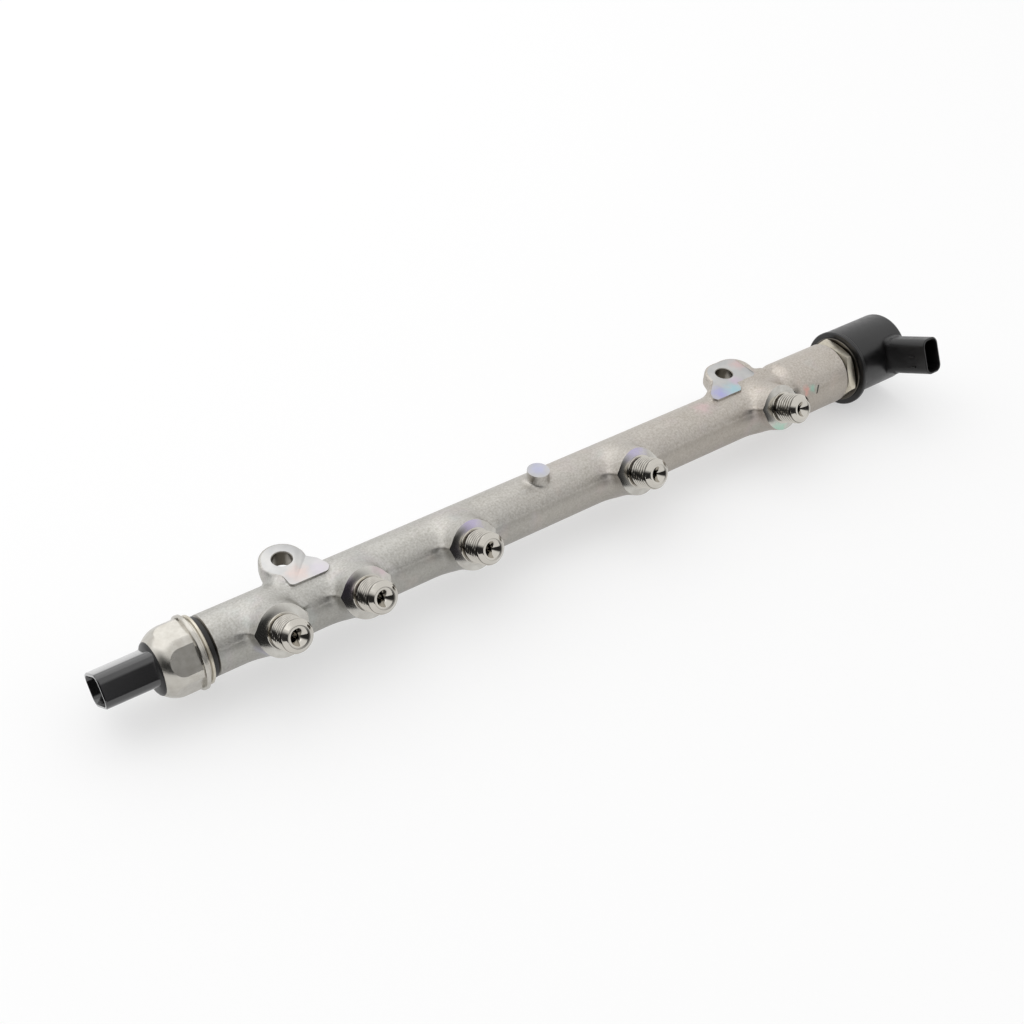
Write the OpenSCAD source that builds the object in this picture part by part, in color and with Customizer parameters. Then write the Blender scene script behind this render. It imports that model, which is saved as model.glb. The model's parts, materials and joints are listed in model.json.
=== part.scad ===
// Common-rail fuel rail for a four-cylinder diesel engine, in millimetres.
// One forged steel tube carries five threaded pipe stubs, two bolt lugs and a
// datum boss. A pressure sensor is screwed into the left end and a sprung,
// solenoid-held pressure control valve into the right end.
// X runs along the tube, Z along the lug bolts and the stubs point toward -Y.
// The origin is midway between the lug holes, on the underside of the lugs.

/* [Rail tube] */
// Outer radius of the forged tube
tube_r = 13; // [12:0.1:14]
// Radius of the fuel bore that runs the whole length
bore_r = 5; // [4:0.1:5.5]
// Distance from the middle of the lugs to the left end face
left_end = 165.8; // [160:0.1:175]
// Distance from the middle of the lugs to the right end face
right_end = 184.6; // [180:0.1:195]
// Outer radius of the thicker head that holds the valve
head_r = 15.5; // [15:0.1:17]
// Length of the thicker head
head_len = 34; // [33:0.1:40]
// Length of the taper between tube and head
head_taper = 5; // [2:0.1:8]
// Chamfer on both end faces
end_chamfer = 0.8; // [0.3:0.1:1.2]

/* [Pipe stubs] */
// Position of the first injector stub along the tube
first_stub = -140.4; // [-143:0.1:-138]
// Distance between neighbouring injector stubs
stub_pitch = 91; // [88:0.1:92]
// Position of the inlet stub along the tube
inlet_stub = -101.9; // [-105:0.1:-95]
// Angle of the stubs above the plane of the lugs
stub_tilt = 29; // [20:1:35]
// Height of the stub mouth above the tube axis
stub_len = 34.5; // [33:0.1:38]
// Outer radius of the pipe thread
thread_r = 7; // [6:0.1:8]
// Length of the threaded part
thread_len = 9; // [7:0.1:10]
// Width of the run-out groove behind the thread
groove_w = 1.2; // [0.8:0.1:2]
// Depth of the run-out groove
groove_d = 1; // [0.5:0.1:1.2]
// Radius of the turned ring under the thread
ring_r = 7.65; // [7.4:0.05:8.2]
// Height of the turned ring
ring_h = 0.6; // [0.3:0.1:1]
// Slope of the turned collar face
collar_slope = 20; // [10:1:30]
// Radius of the sealing cone at the mouth
mouth_r = 3.6; // [3:0.1:4.2]
// Half angle of the sealing cone
cone_half = 30; // [25:1:35]
// Radius of the cross drilling below the cone
drill_r = 1.5; // [1:0.1:1.8]
// Radius of the flat rim round the mouth
rim_r = 5.06; // [4.6:0.02:5.6]

/* [Forged bosses] */
// Radius of the forged boss under each stub
boss_r = 10.3; // [9.5:0.1:11]
// Blend radius along the tube at the foot of a boss
boss_blend = 5; // [3:0.1:6]
// How much a boss widens from its turned collar down to its foot
boss_foot = 2; // [1:0.1:2.2]
// Reach of the two flash points of a boss along the tube
flash_reach = 12.3; // [11.5:0.1:13]
// Offset of the flash points from the stub's axis
flash_rise = 2.3; // [0:0.1:4]

/* [Lugs] */
// Distance between the two lug holes
lug_pitch = 246; // [240:0.1:252]
// Distance of the lug holes from the tube axis
lug_off = 13.7; // [13.2:0.1:16]
// Height of the milled lug faces above the tube axis
lug_top = 14.4; // [14:0.1:15.5]
// Thickness of the lugs
lug_thick = 7.4; // [6:0.1:8]
// Radius of the bolt holes
hole_r = 4.25; // [4:0.05:4.6]
// Outer radius of the lug ears
ear_r = 9.4; // [9:0.1:10.5]
// Extra length of the right ear along the tube
ear_stretch = 7.3; // [4:0.1:9]
// Blend radius between a lug's underside and the tube
lug_blend = 1.5; // [0.5:0.1:2]
// Height of the milled pads in front of the tube's crown, past the axis
pad_front = 2; // [0:0.1:3]

/* [Datum boss] */
// Position of the datum boss along the tube
datum_x = -2.7; // [-10:0.1:10]
// Radius of the datum boss
datum_r = 5; // [4:0.1:6]
// Height of the datum boss above the tube axis
datum_top = 17.6; // [16:0.1:19]
// Blend radius at the foot of the datum boss
datum_blend = 2; // [1:0.1:3]

/* [Sensor seat] */
// Outer radius of the sensor's screw thread
sensor_thread_r = 9; // [8.5:0.1:9.2]
// Depth of the sensor's threaded hole
sensor_seat_depth = 13.5; // [12:0.1:16]
// Radius of the pocket behind the sensor's thread
sensor_pocket_r = 7.8; // [7.6:0.1:8]
// Depth of the pocket behind the sensor's thread
sensor_pocket = 3; // [2.5:0.1:5]

/* [Sensor] */
// Thickness of the rubber ring between sensor and tube
seal_h = 2.6; // [2:0.1:4]
// Outer radius of the rubber ring
seal_r = 12.9; // [11:0.1:13]
// Thickness of the loose steel washer
washer_h = 1.4; // [1:0.1:3]
// Outer radius of the loose steel washer
washer_r = 14.55; // [13.5:0.05:15.5]
// Thickness of the neck between washer and flange
flange_neck = 1.2; // [0.6:0.1:2]
// Thickness of the sensor's flange
flange_h = 1.7; // [1:0.1:3]
// Outer radius of the sensor's flange
flange_r = 15.7; // [15.4:0.1:17]
// Width across the flats of the sensor's hexagon
sensor_af = 27.1; // [25:0.1:27.5]
// Radius of the turned corners of the hexagon
hex_corner_r = 14.7; // [14.4:0.1:15]
// Length of the cylindrical part of the hexagon
hex_len = 6.7; // [5:0.1:9]
// Length of the domed nose behind the hexagon
nose_len = 8.2; // [6:0.1:10]
// Radius of the domed nose where the plastic starts
nose_r = 11.25; // [11.1:0.05:12]
// Thickness of the plastic disc behind the nose
disc_h = 1.5; // [1:0.1:4]
// Radius of the space inside the sensor body
sensor_room_r = 10.2; // [9.8:0.1:10.4]
// Radius of the pressure drilling in the sensor
sensor_drill_r = 1.8; // [1:0.1:2.5]

/* [Sensor socket] */
// Length of the socket beyond the disc
socket_len = 21.5; // [18:0.1:24]
// Offset of the socket from the tube axis
socket_off = 1; // [0:0.1:1.5]
// Half height of the socket's outside
socket_a = 6.4; // [6:0.1:7]
// Half width of the socket's outside
socket_b = 9.6; // [9:0.1:10]
// Corner radius of the socket's outside
socket_corner = 2.2; // [1.5:0.1:3]
// Wall of the socket
socket_wall = 1.3; // [1:0.1:1.8]
// Depth of the socket
socket_depth = 13.5; // [10:0.1:15]
// Turn of the socket about the tube axis
socket_turn = 38; // [0:1:90]
// Turn of the hexagon about the tube axis
hex_turn = 51; // [0:1:60]
// Distance between the contact pins
pin_gap = 5; // [4:0.1:5.5]
// How far the contact pins stay back from the mouth
pin_back = 5.5; // [4.5:0.1:8]

/* [Valve seat] */
// Outer radius of the union nut's thread
nut_thread_r = 12; // [11.5:0.1:12.3]
// Length of the union nut's thread
nut_thread_len = 12.5; // [10:0.1:13]
// Radius of the bore round the valve's shank
shank_bore_r = 8.8; // [8.6:0.1:9.4]
// Depth of the valve's seat face below the end face
valve_seat_depth = 34.3; // [33.8:0.1:36]
// Radius of the return drilling at the back of the head
return_r = 2.5; // [2:0.1:3]

/* [Valve] */
// Width across the flats of the union nut
nut_af = 29; // [28:0.1:30]
// Height of the nut's hexagon
nut_h = 4.6; // [4:0.1:7]
// Gap between the end face and the nut's hexagon
nut_gap = 0.9; // [0.5:0.1:1.5]
// Turn of the nut's hexagon about the tube axis
nut_turn = 27; // [0:1:60]
// Radius of the valve's shank
shank_r = 8.6; // [8:0.1:8.6]
// Radius of the valve's shoulder that the nut presses on
shoulder_r = 11.6; // [11:0.1:11.8]
// Thickness of that shoulder
shoulder_h = 3; // [2:0.1:3.3]
// Radius of the valve's neck inside the nut
neck_r = 9.1; // [8.8:0.1:9.3]
// Radius of the magnetic pole and of the sleeve's inside
pole_r = 7; // [6.5:0.1:7.2]
// Wall of the non-magnetic sleeve
sleeve_wall = 0.6; // [0.5:0.1:1]
// Radius of the armature
armature_r = 6.65; // [6:0.05:6.7]
// Length of the armature
armature_len = 9.5; // [8:0.1:10]
// Gap left between armature and pole when the valve is shut
air_gap = 0.5; // [0.3:0.1:1]
// Opening stroke of the armature
stroke = 0.4; // [0.2:0.1:0.5]
// Radius of the valve ball
ball_r = 1.5; // [1.2:0.1:1.8]
// Radius of the armature's push pin
push_pin_r = 1.45; // [1:0.05:1.6]
// Running clearance of the push pin
pin_clear = 0.05; // [0.02:0.01:0.1]
// Radius of the orifice in the valve seat
orifice_r = 0.6; // [0.4:0.1:0.9]

/* [Solenoid] */
// Radius of the steel pole plate
plate_r = 16.4; // [16:0.1:17]
// Thickness of the steel pole plate
plate_h = 2.4; // [2:0.1:3]
// Gap between the nut and the pole plate
plate_gap = 1.1; // [0.5:0.1:2]
// How far the pole plate stands out of the plastic flange
plate_proud = 0.9; // [0.2:0.1:1.5]
// Radius of the plastic flange
cap_flange_r = 19.2; // [18.8:0.1:20]
// Thickness of the plastic flange
cap_flange_h = 2.6; // [2:0.1:4]
// Radius of the plastic barrel
cap_r = 17.4; // [17.2:0.1:18]
// Offset of the plastic barrel from the tube axis
cap_off = 1.5; // [0:0.1:1.6]
// Direction of that offset, back from the top
cap_off_dir = 48; // [0:1:90]
// Length of the plastic cap from the flange face to its end
cap_len = 34.4; // [34:0.1:38]
// Rounding at the end of the plastic cap
cap_round = 2.5; // [1:0.1:4]
// Outer radius of the winding
coil_r = 12.4; // [11:0.1:12.6]
// Height of the winding
coil_h = 16.4; // [14:0.1:17]
// Outer radius of the steel can round the winding
can_r = 14.5; // [14.3:0.1:14.8]
// Wall of the steel can
can_wall = 1.3; // [1:0.1:1.5]

/* [Valve socket] */
// Distance of the socket's middle from the end face
plug_mid = 33.4; // [32.8:0.1:34]
// Half thickness of the socket along the tube
plug_a = 4.85; // [4.6:0.05:5]
// Half height of the socket
plug_b = 8.7; // [8:0.1:9.5]
// Corner radius of the socket
plug_corner = 2; // [1:0.1:3]
// Distance of the socket's mouth from the tube axis
plug_len = 41; // [38:0.1:45]
// Wall of the socket
plug_wall = 1.1; // [0.9:0.1:1.5]
// Depth of the socket
plug_depth = 13; // [10:0.1:15]
// Distance between the two contact blades
blade_gap = 5; // [4:0.1:6]
// How far the contact blades stay back from the mouth
blade_back = 6; // [5:0.1:8]

/* [Hidden] */
$fn = 96;
e = 0.01;
fit = 0.1;                                   // general assembly clearance
sink = 0.06;                                 // how far blends run on under the surface they meet
under_z = lug_top - lug_thick;               // underside of the lugs above the axis
head_start = right_end - head_len;
stubs = [first_stub, inlet_stub, first_stub + stub_pitch, first_stub + 2 * stub_pitch,
         first_stub + 3 * stub_pitch];
flash_d = norm([flash_reach, flash_rise]);
flash_a = atan2(flash_rise, flash_reach);
flash_t = acos(boss_r / flash_d);
thread_top = stub_len - 0.2 - (thread_r - rim_r);
thread_foot = thread_top - thread_len;
ring_top = thread_foot - groove_w;
collar_top = ring_top - ring_h;
// sensor stations, measured outward from the left end face
s_washer = seal_h;
s_neck = s_washer + washer_h;
s_flange = s_neck + flange_neck;
s_hex = s_flange + flange_h;
s_nose = s_hex + hex_len;
s_disc = s_nose + nose_len;
s_shell = s_disc + disc_h;
s_mouth = s_shell + socket_len;
s_room = s_hex + 2.2;                        // floor of the space in the sensor body
s_board = s_room + 6.4;
s_plug = s_board + 2;                        // inner end of the plastic plug
sensor_tip = -(sensor_seat_depth + sensor_pocket);
// valve stations, measured outward from the right end face
v_hex = nut_gap;
v_nut = v_hex + nut_h;
v_plate = v_nut + plate_gap;
v_flange = v_plate + plate_proud;
v_coil = v_plate + plate_h;
bobbin_t = 1.3;
bobbin_h = coil_h + 2 * bobbin_t + 2 * fit;
v_can_end = v_coil + bobbin_h + fit;
can_floor = 2;
v_end = v_flange + cap_len;
pole_end = v_coil + 9;                       // face of the magnetic pole
arm_face = pole_end + air_gap;
arm_end = arm_face + armature_len;
sleeve_end = v_can_end + can_floor + 2.4;
spring_r = 3;
spring_wire = 0.45;
spring_foot = arm_end - 4;                   // floor of the spring pocket
shoulder_z = -nut_thread_len;
shank_top = shoulder_z - shoulder_h;
seat_z = -valve_seat_depth;
ball_z = seat_z + 5.2;
insert_h = 4.6;
insert_r = 4;
chamber_r = 2.3;
chamber_top = ball_z + 2.6;
ring_groove_z = shank_top - 6;               // outer end of the sealing groove
ring_groove_w = 4.2;
ring_groove_r = shank_r - 1.7;
gather_z = seat_z + 5.2;                     // gathering groove for the returned fuel
plug_dir = 90 - stub_tilt;                   // the socket points the way the stubs do

// Moves what is drawn round the tube axis into the part's own frame.
module in_part() translate([0, -lug_off, -under_z]) children();
// Local Z becomes +X, starting at the right end face.
module at_right() in_part() translate([right_end, 0, 0]) rotate([0, 90, 0]) children();
// Local Z becomes -X, starting at the left end face.
module at_left() in_part() translate([-left_end, 0, 0]) rotate([0, -90, 0]) children();
// Local Z becomes the direction of the stubs.
module at_stub(x) translate([x, 0, 0]) rotate([90 - stub_tilt, 0, 0]) children();

module tube_of(r_out, r_in, h) difference() {
    cylinder(r = r_out, h = h);
    translate([0, 0, -1]) cylinder(r = r_in, h = h + 2);
}
module ring_of(r_mid, r_sec) rotate_extrude() translate([r_mid, 0]) circle(r = r_sec, $fn = 40);
module round_rect(a, b, r) {
    square([2 * a - 2 * r, 2 * b], center = true);
    square([2 * a, 2 * b - 2 * r], center = true);
    for (i = [-1, 1], j = [-1, 1]) translate([i * (a - r), j * (b - r)]) circle(r = r, $fn = 40);
}

// ---- forged and drilled rail ----

module tube_solid() rotate([0, 90, 0]) rotate_extrude() polygon([
    [0, -left_end], [tube_r - end_chamfer, -left_end], [tube_r, -left_end + end_chamfer],
    [tube_r, head_start - head_taper], [head_r, head_start], [head_r, right_end - end_chamfer],
    [head_r - end_chamfer, right_end], [0, right_end]]);

// Forged boss: a drafted cone, a lens-shaped foot that fades into the tube along its
// length, and the two flash points that the parting line leaves under the turned collar.
module boss_cone() rotate_extrude() polygon([
    [0, tube_r * 0.3], [boss_r + boss_foot, tube_r * 0.3], [boss_r, tube_r + 4], [boss_r, 30], [0, 30]]);
// Lens between two arcs that meet at (-reach, 0) and (reach, 0).
module lens(reach, half, h) {
    rho = (reach * reach + half * half) / (2 * half);
    intersection() {
        translate([0, half - rho, 0]) cylinder(r = rho, h = h);
        translate([0, rho - half, 0]) cylinder(r = rho, h = h);
    }
}
module foot_web() intersection() {
    rotate([0, 90, 0]) rotate_extrude() difference() {
        translate([0, -boss_r - boss_blend]) square([tube_r - sink + boss_blend, 2 * (boss_r + boss_blend)]);
        for (i = [-1, 1]) translate([tube_r - sink + boss_blend, i * (boss_r + boss_blend)]) circle(r = boss_blend);
    }
    translate([0, 0, tube_r * 0.5]) lens(boss_r + boss_blend - 0.4, boss_r * 0.6, 14);
}
module boss_body() {
    boss_cone();
    foot_web();
    translate([0, 0, tube_r - 1]) linear_extrude(20) polygon([
        [-flash_reach, flash_rise],
        [-(boss_r - 0.1) * cos(flash_a + flash_t), (boss_r - 0.1) * sin(flash_a + flash_t)],
        [(boss_r - 0.1) * cos(flash_a + flash_t), (boss_r - 0.1) * sin(flash_a + flash_t)],
        [flash_reach, flash_rise],
        [(boss_r - 0.1) * cos(flash_a - flash_t), (boss_r - 0.1) * sin(flash_a - flash_t)],
        [-(boss_r - 0.1) * cos(flash_a - flash_t), (boss_r - 0.1) * sin(flash_a - flash_t)]]);
}
// Everything above this turned outline is cut away from a boss.
module collar_cut() rotate_extrude() polygon([
    [ring_r, collar_top], [30, collar_top - (30 - ring_r) * tan(collar_slope)], [30, 40], [ring_r, 40]]);
module stub_solid() {
    difference() {
        boss_body();
        collar_cut();
        translate([0, 0, ring_top]) cylinder(r = 30, h = 30);
    }
    rotate_extrude() polygon([
        [0, tube_r - 2], [ring_r - 1, tube_r - 2], [ring_r, tube_r - 1], [ring_r, ring_top - 0.25],
        [ring_r - 0.25, ring_top], [thread_r - groove_d, ring_top + 0.3],
        [thread_r - groove_d, thread_foot - groove_d * 0.6], [thread_r, thread_foot],
        [thread_r, thread_top], [rim_r, stub_len - 0.2], [mouth_r + 0.4, stub_len], [0, stub_len]]);
}
module stub_hole() rotate_extrude() polygon([
    [0, 0], [drill_r, 0], [drill_r, stub_len - (mouth_r - drill_r) / tan(cone_half)],
    [mouth_r, stub_len], [mouth_r + 1, stub_len + 1], [0, stub_len + 1]]);

// Web of a lug between its ear and the milled pad over the crown of the tube.
front = -(lug_off + pad_front);
module left_lug_plan() {
    circle(r = ear_r);
    polygon([[-ear_r, 0], [-ear_r, -2.4], [-4.8, -8], [-4.8, front + 1.4], [-3.4, front],
             [12.2, front], [14.2, front + 2], [14.1, -11.4], [13.6, -9.7], [12.3, -7.1],
             [10.7, -5.9], [ear_r + 0.4, -5.1], [ear_r - 0.1, -2.7], [ear_r, 0]]);
}
module right_lug_plan() {
    circle(r = ear_r);
    translate([ear_stretch, 0]) circle(r = ear_r);
    translate([0, 0]) square([ear_stretch, ear_r]);
    polygon([[-ear_r, 0], [-ear_r - 0.4, -3], [-18.9, -11.5], [-18.9, front + 2.4], [-17.6, front + 1.1],
             [-2.6, front + 1.1], [-0.5, front + 3.1], [-0.5, -8.6], [ear_r + ear_stretch + 7, -8.6],
             [ear_r + ear_stretch + 6.1, -5.8], [ear_r + ear_stretch + 3.2, -4.6],
             [ear_r + ear_stretch + 1.1, -3.2], [ear_r + ear_stretch, 0]]);
}
module lug_root(x0, x1) {
    yc = sqrt(pow(tube_r - sink + lug_blend, 2) - pow(under_z - lug_blend + sink, 2));
    k = (tube_r - sink) / (tube_r - sink + lug_blend);
    translate([x0, 0, 0]) rotate([90, 0, 90]) linear_extrude(x1 - x0) difference() {
        polygon([[0, 0], [yc * k, (under_z - lug_blend + sink) * k], [yc, under_z + sink], [yc, under_z + 1],
                 [0, under_z + 1]]);
        translate([yc, under_z - lug_blend + sink]) circle(r = lug_blend);
    }
}
module lug_solid(side) {
    hx = side * lug_pitch / 2;
    translate([hx, lug_off, under_z]) linear_extrude(lug_thick)
        if (side < 0) left_lug_plan(); else right_lug_plan();
    lug_root(hx - ear_r, hx + ear_r + (side < 0 ? 0 : ear_stretch));
    // forged ramp from the ear down to the crown of the tube
    hull() {
        translate([hx, lug_off, under_z]) cylinder(r = ear_r - 0.1, h = lug_thick - 0.4, $fn = 32);
        translate([hx + (side < 0 ? -9.5 : -15), tube_r * 0.42, tube_r * 0.55]) sphere(r = 4.6, $fn = 24);
    }
}
module datum_boss() translate([datum_x, 0, 0]) {
    cylinder(r = datum_r, h = datum_top);
    intersection() {
        rotate_extrude() difference() {
            square([datum_r + datum_blend, tube_r - sink + datum_blend]);
            translate([datum_r + datum_blend, tube_r - sink + datum_blend]) circle(r = datum_blend);
        }
        rotate([0, 90, 0]) cylinder(r = tube_r + datum_blend * 0.6, h = 40, center = true);
    }
}
module rail_cavities() {
    translate([-left_end - 1, 0, 0]) rotate([0, 90, 0]) cylinder(r = bore_r, h = left_end + right_end + 2);
    // sensor thread and its pocket
    translate([-left_end, 0, 0]) rotate([0, 90, 0]) rotate_extrude() polygon([
        [0, -1], [sensor_thread_r + fit + 0.9, -1], [sensor_thread_r + fit, 0.8],
        [sensor_thread_r + fit, sensor_seat_depth], [sensor_pocket_r, sensor_seat_depth + 0.6],
        [sensor_pocket_r, -sensor_tip], [0, -sensor_tip]]);
    // valve thread, shoulder room and shank bore
    translate([right_end, 0, 0]) rotate([0, -90, 0]) rotate_extrude() polygon([
        [0, -1], [nut_thread_r + fit + 0.9, -1], [nut_thread_r + fit, 0.8],
        [nut_thread_r + fit, -shank_top], [shank_bore_r, -shank_top + 0.8],
        [shank_bore_r, valve_seat_depth], [0, valve_seat_depth]]);
    // return drilling at the back of the head
    translate([right_end + gather_z, 0, 0]) rotate([-90 - stub_tilt, 0, 0])
        cylinder(r = return_r, h = head_r + 1);
}
module rail_body() color([0.72, 0.71, 0.68]) in_part() difference() {
    union() {
        tube_solid();
        for (x = stubs) at_stub(x) stub_solid();
        lug_solid(-1);
        lug_solid(1);
        datum_boss();
    }
    rail_cavities();
    for (x = stubs) at_stub(x) stub_hole();
    // the bolt drillings run on along the back of the tube
    for (i = [-1, 1]) translate([i * lug_pitch / 2, lug_off, -30]) cylinder(r = hole_r, h = 60);
    // milled faces
    for (i = [-1, 1]) translate([i * lug_pitch / 2, lug_off, lug_top]) linear_extrude(8)
        if (i < 0) left_lug_plan(); else right_lug_plan();
}

// ---- pressure sensor ----

// Turned outline of the hexagon: straight, then an arc through the nose's two end radii.
module dome() rotate_extrude() {
    drop = hex_corner_r - nose_r;
    rad = (drop * drop + nose_len * nose_len) / (2 * drop);
    translate([0, s_hex - 1]) square([hex_corner_r, s_nose - s_hex + 1]);
    intersection() {
        translate([0, s_nose]) square([hex_corner_r, nose_len]);
        translate([hex_corner_r - rad, s_nose]) circle(r = rad, $fn = 180);
    }
}
module sensor_body() color([0.8, 0.79, 0.76]) at_left() difference() {
    union() {
        intersection() {
            dome();
            rotate([0, 0, hex_turn]) cylinder(r = sensor_af / sqrt(3), h = 80, $fn = 6);
        }
        translate([0, 0, s_flange]) cylinder(r = flange_r, h = flange_h);
        translate([0, 0, s_neck]) cylinder(r = washer_r - 0.8, h = flange_neck + e);
        rotate_extrude() polygon([
            [0, sensor_tip + 0.8], [5.7, sensor_tip + 0.8], [5.7, sensor_tip], [6.3, sensor_tip],
            [7, sensor_tip + 0.8], [7, -sensor_seat_depth - 0.2], [7.4, -sensor_seat_depth + 0.4],
            [7.4, -sensor_seat_depth + 1.6], [sensor_thread_r, -sensor_seat_depth + 3],
            [sensor_thread_r, -1.5], [7.9, -0.8], [7.9, 0.2], [9.1, 0.4], [9.1, s_neck + e], [0, s_neck + e]]);
    }
    translate([0, 0, sensor_tip - 1]) cylinder(r = sensor_drill_r, h = 60);
    translate([0, 0, s_room]) cylinder(r = sensor_room_r, h = 60);
}
module sensor_seal_ring() color([0.1, 0.1, 0.1]) at_left() rotate_extrude() polygon([
    [9.3, 0], [seal_r - 0.5, 0], [seal_r, 0.5], [seal_r, seal_h - 0.5], [seal_r - 0.5, seal_h], [9.3, seal_h]]);
module sensor_washer() color([0.75, 0.74, 0.7]) at_left() translate([0, 0, s_washer]) rotate_extrude() polygon([
    [9.3, 0], [washer_r - 0.3, 0], [washer_r, 0.3], [washer_r, washer_h - 0.3], [washer_r - 0.3, washer_h],
    [9.3, washer_h]]);
module sensor_cell() color([0.7, 0.7, 0.72]) at_left() translate([0, 0, s_room]) difference() {
    union() {
        cylinder(r = 6, h = 1.4);
        cylinder(r = 3.6, h = 5);
    }
    translate([0, 0, -1]) cylinder(r = sensor_drill_r + 0.4, h = 5.4);
}
module sensor_carrier() color([0.85, 0.84, 0.78]) at_left() translate([0, 0, s_room])
    tube_of(sensor_room_r - fit, 7.4, s_board - s_room);
module sensor_board() color([0.1, 0.35, 0.2]) at_left() translate([0, 0, s_board]) difference() {
    cylinder(r = sensor_room_r - fit, h = 1.2);
    for (i = [-1, 0, 1]) rotate([0, 0, socket_turn]) translate([0, i * pin_gap, 0.6])
        cube([0.9, 1.6, 4], center = true);
}
module sensor_o_ring() color([0.08, 0.08, 0.08]) at_left() translate([0, 0, s_plug + 1.7]) ring_of(sensor_room_r - 0.95, 0.8);
module socket_plan(inset) translate([socket_off, 0]) round_rect(socket_a - inset, socket_b - inset, socket_corner - inset * 0.6);
module sensor_housing() color([0.13, 0.13, 0.14]) at_left() difference() {
    union() {
        translate([0, 0, s_disc]) cylinder(r = nose_r - 0.05, h = disc_h);
        rotate_extrude() polygon([
            [0, s_plug], [sensor_room_r - fit, s_plug], [sensor_room_r - fit, s_plug + 0.8],
            [sensor_room_r - 1.8, s_plug + 0.8], [sensor_room_r - 1.8, s_plug + 2.6],
            [sensor_room_r - fit, s_plug + 2.6], [sensor_room_r - fit, s_disc + e], [0, s_disc + e]]);
        rotate([0, 0, socket_turn]) translate([0, 0, s_shell - e]) linear_extrude(socket_len + e) socket_plan(0);
    }
    rotate([0, 0, socket_turn]) translate([0, 0, s_mouth - socket_depth])
        linear_extrude(socket_depth + 1) socket_plan(socket_wall);
    for (i = [-1, 0, 1]) rotate([0, 0, socket_turn]) translate([0, i * pin_gap, (s_plug + s_mouth) / 2 - 6])
        cube([0.8, 1.5, 60], center = true);
}
module sensor_pins() color([0.78, 0.66, 0.4]) at_left()
    for (i = [-1, 0, 1]) rotate([0, 0, socket_turn]) translate([-0.4, i * pin_gap - 0.75, s_board - 0.4])
        cube([0.8, 1.5, s_mouth - pin_back - s_board + 0.4]);

// ---- pressure control valve ----

module valve_union_nut() color([0.74, 0.72, 0.68]) at_right() difference() {
    union() {
        intersection() {
            rotate([0, 0, nut_turn]) translate([0, 0, v_hex]) cylinder(r = nut_af / sqrt(3), h = nut_h, $fn = 6);
            rotate_extrude() polygon([
                [0, v_hex], [nut_af / 2 + 0.6, v_hex], [nut_af / 2 + 2.6, v_hex + 1], [nut_af / 2 + 2.6, v_nut - 1],
                [nut_af / 2 + 0.6, v_nut], [0, v_nut]]);
        }
        rotate_extrude() polygon([
            [0, -nut_thread_len], [nut_thread_r - 0.8, -nut_thread_len], [nut_thread_r, -nut_thread_len + 0.8],
            [nut_thread_r, -1.2], [nut_thread_r - 0.9, -0.4], [nut_thread_r - 0.9, v_hex + e], [0, v_hex + e]]);
    }
    translate([0, 0, -nut_thread_len - 1]) cylinder(r = neck_r + fit, h = 40);
}
module valve_body() color([0.66, 0.66, 0.66]) at_right() difference() {
    rotate_extrude() polygon([
        [0, seat_z + 0.6], [5.7, seat_z + 0.6], [5.7, seat_z], [6.3, seat_z], [7.2, seat_z + 0.9],
        [shank_r, seat_z + 0.9], [shank_r, gather_z - 2.6], [shank_r - 1.4, gather_z - 2.2],
        [shank_r - 1.4, gather_z + 2.2], [shank_r, gather_z + 2.6],
        [shank_r, ring_groove_z - ring_groove_w], [ring_groove_r, ring_groove_z - ring_groove_w],
        [ring_groove_r, ring_groove_z], [shank_r, ring_groove_z], [shank_r, shank_top],
        [shoulder_r, shank_top], [shoulder_r, shoulder_z], [neck_r, shoulder_z], [neck_r, v_plate],
        [neck_r, v_coil], [pole_r, v_coil], [pole_r, pole_end], [0, pole_end]]);
    translate([0, 0, seat_z - 1]) cylinder(r = insert_r + 0.02, h = insert_h + 1.6);
    translate([0, 0, seat_z]) cylinder(r = chamber_r, h = chamber_top - seat_z);
    translate([0, 0, seat_z]) cylinder(r = push_pin_r + pin_clear, h = 80);
    for (a = [45:90:315]) translate([0, 0, gather_z]) rotate([90, 0, a]) cylinder(r = 0.9, h = 12, $fn = 32);
}
module valve_seat() color([0.6, 0.6, 0.62]) at_right() translate([0, 0, seat_z + 0.6]) difference() {
    cylinder(r = insert_r, h = insert_h);
    translate([0, 0, -1]) cylinder(r = orifice_r, h = insert_h + 2);
    // conical seat, a hair clear of the ball
    translate([0, 0, ball_z - seat_z - 0.6 - (ball_r + 0.04) * sqrt(2)])
        cylinder(r1 = 0, r2 = 6, h = 6);
    translate([0, 0, -1]) cylinder(r1 = 3, r2 = 0.4, h = 3.4);
}
module valve_ball() color([0.8, 0.8, 0.82]) at_right() translate([0, 0, ball_z]) sphere(r = ball_r, $fn = 48);
module valve_push_pin() color([0.75, 0.75, 0.77]) at_right() translate([0, 0, ball_z + ball_r + 0.02])
    cylinder(r = push_pin_r, h = arm_face + 2.5 - ball_z - ball_r - 0.02);
module valve_armature() color([0.55, 0.55, 0.56]) at_right() difference() {
    translate([0, 0, arm_face]) cylinder(r = armature_r, h = armature_len);
    translate([0, 0, arm_face - 1]) cylinder(r = push_pin_r, h = 3.5);
    translate([0, 0, spring_foot]) cylinder(r = spring_r + spring_wire + 0.2, h = 20);
    for (a = [0, 180]) rotate([0, 0, a]) translate([5.2, 0, arm_face - 1]) cylinder(r = 0.7, h = 40, $fn = 32);
}
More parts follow.
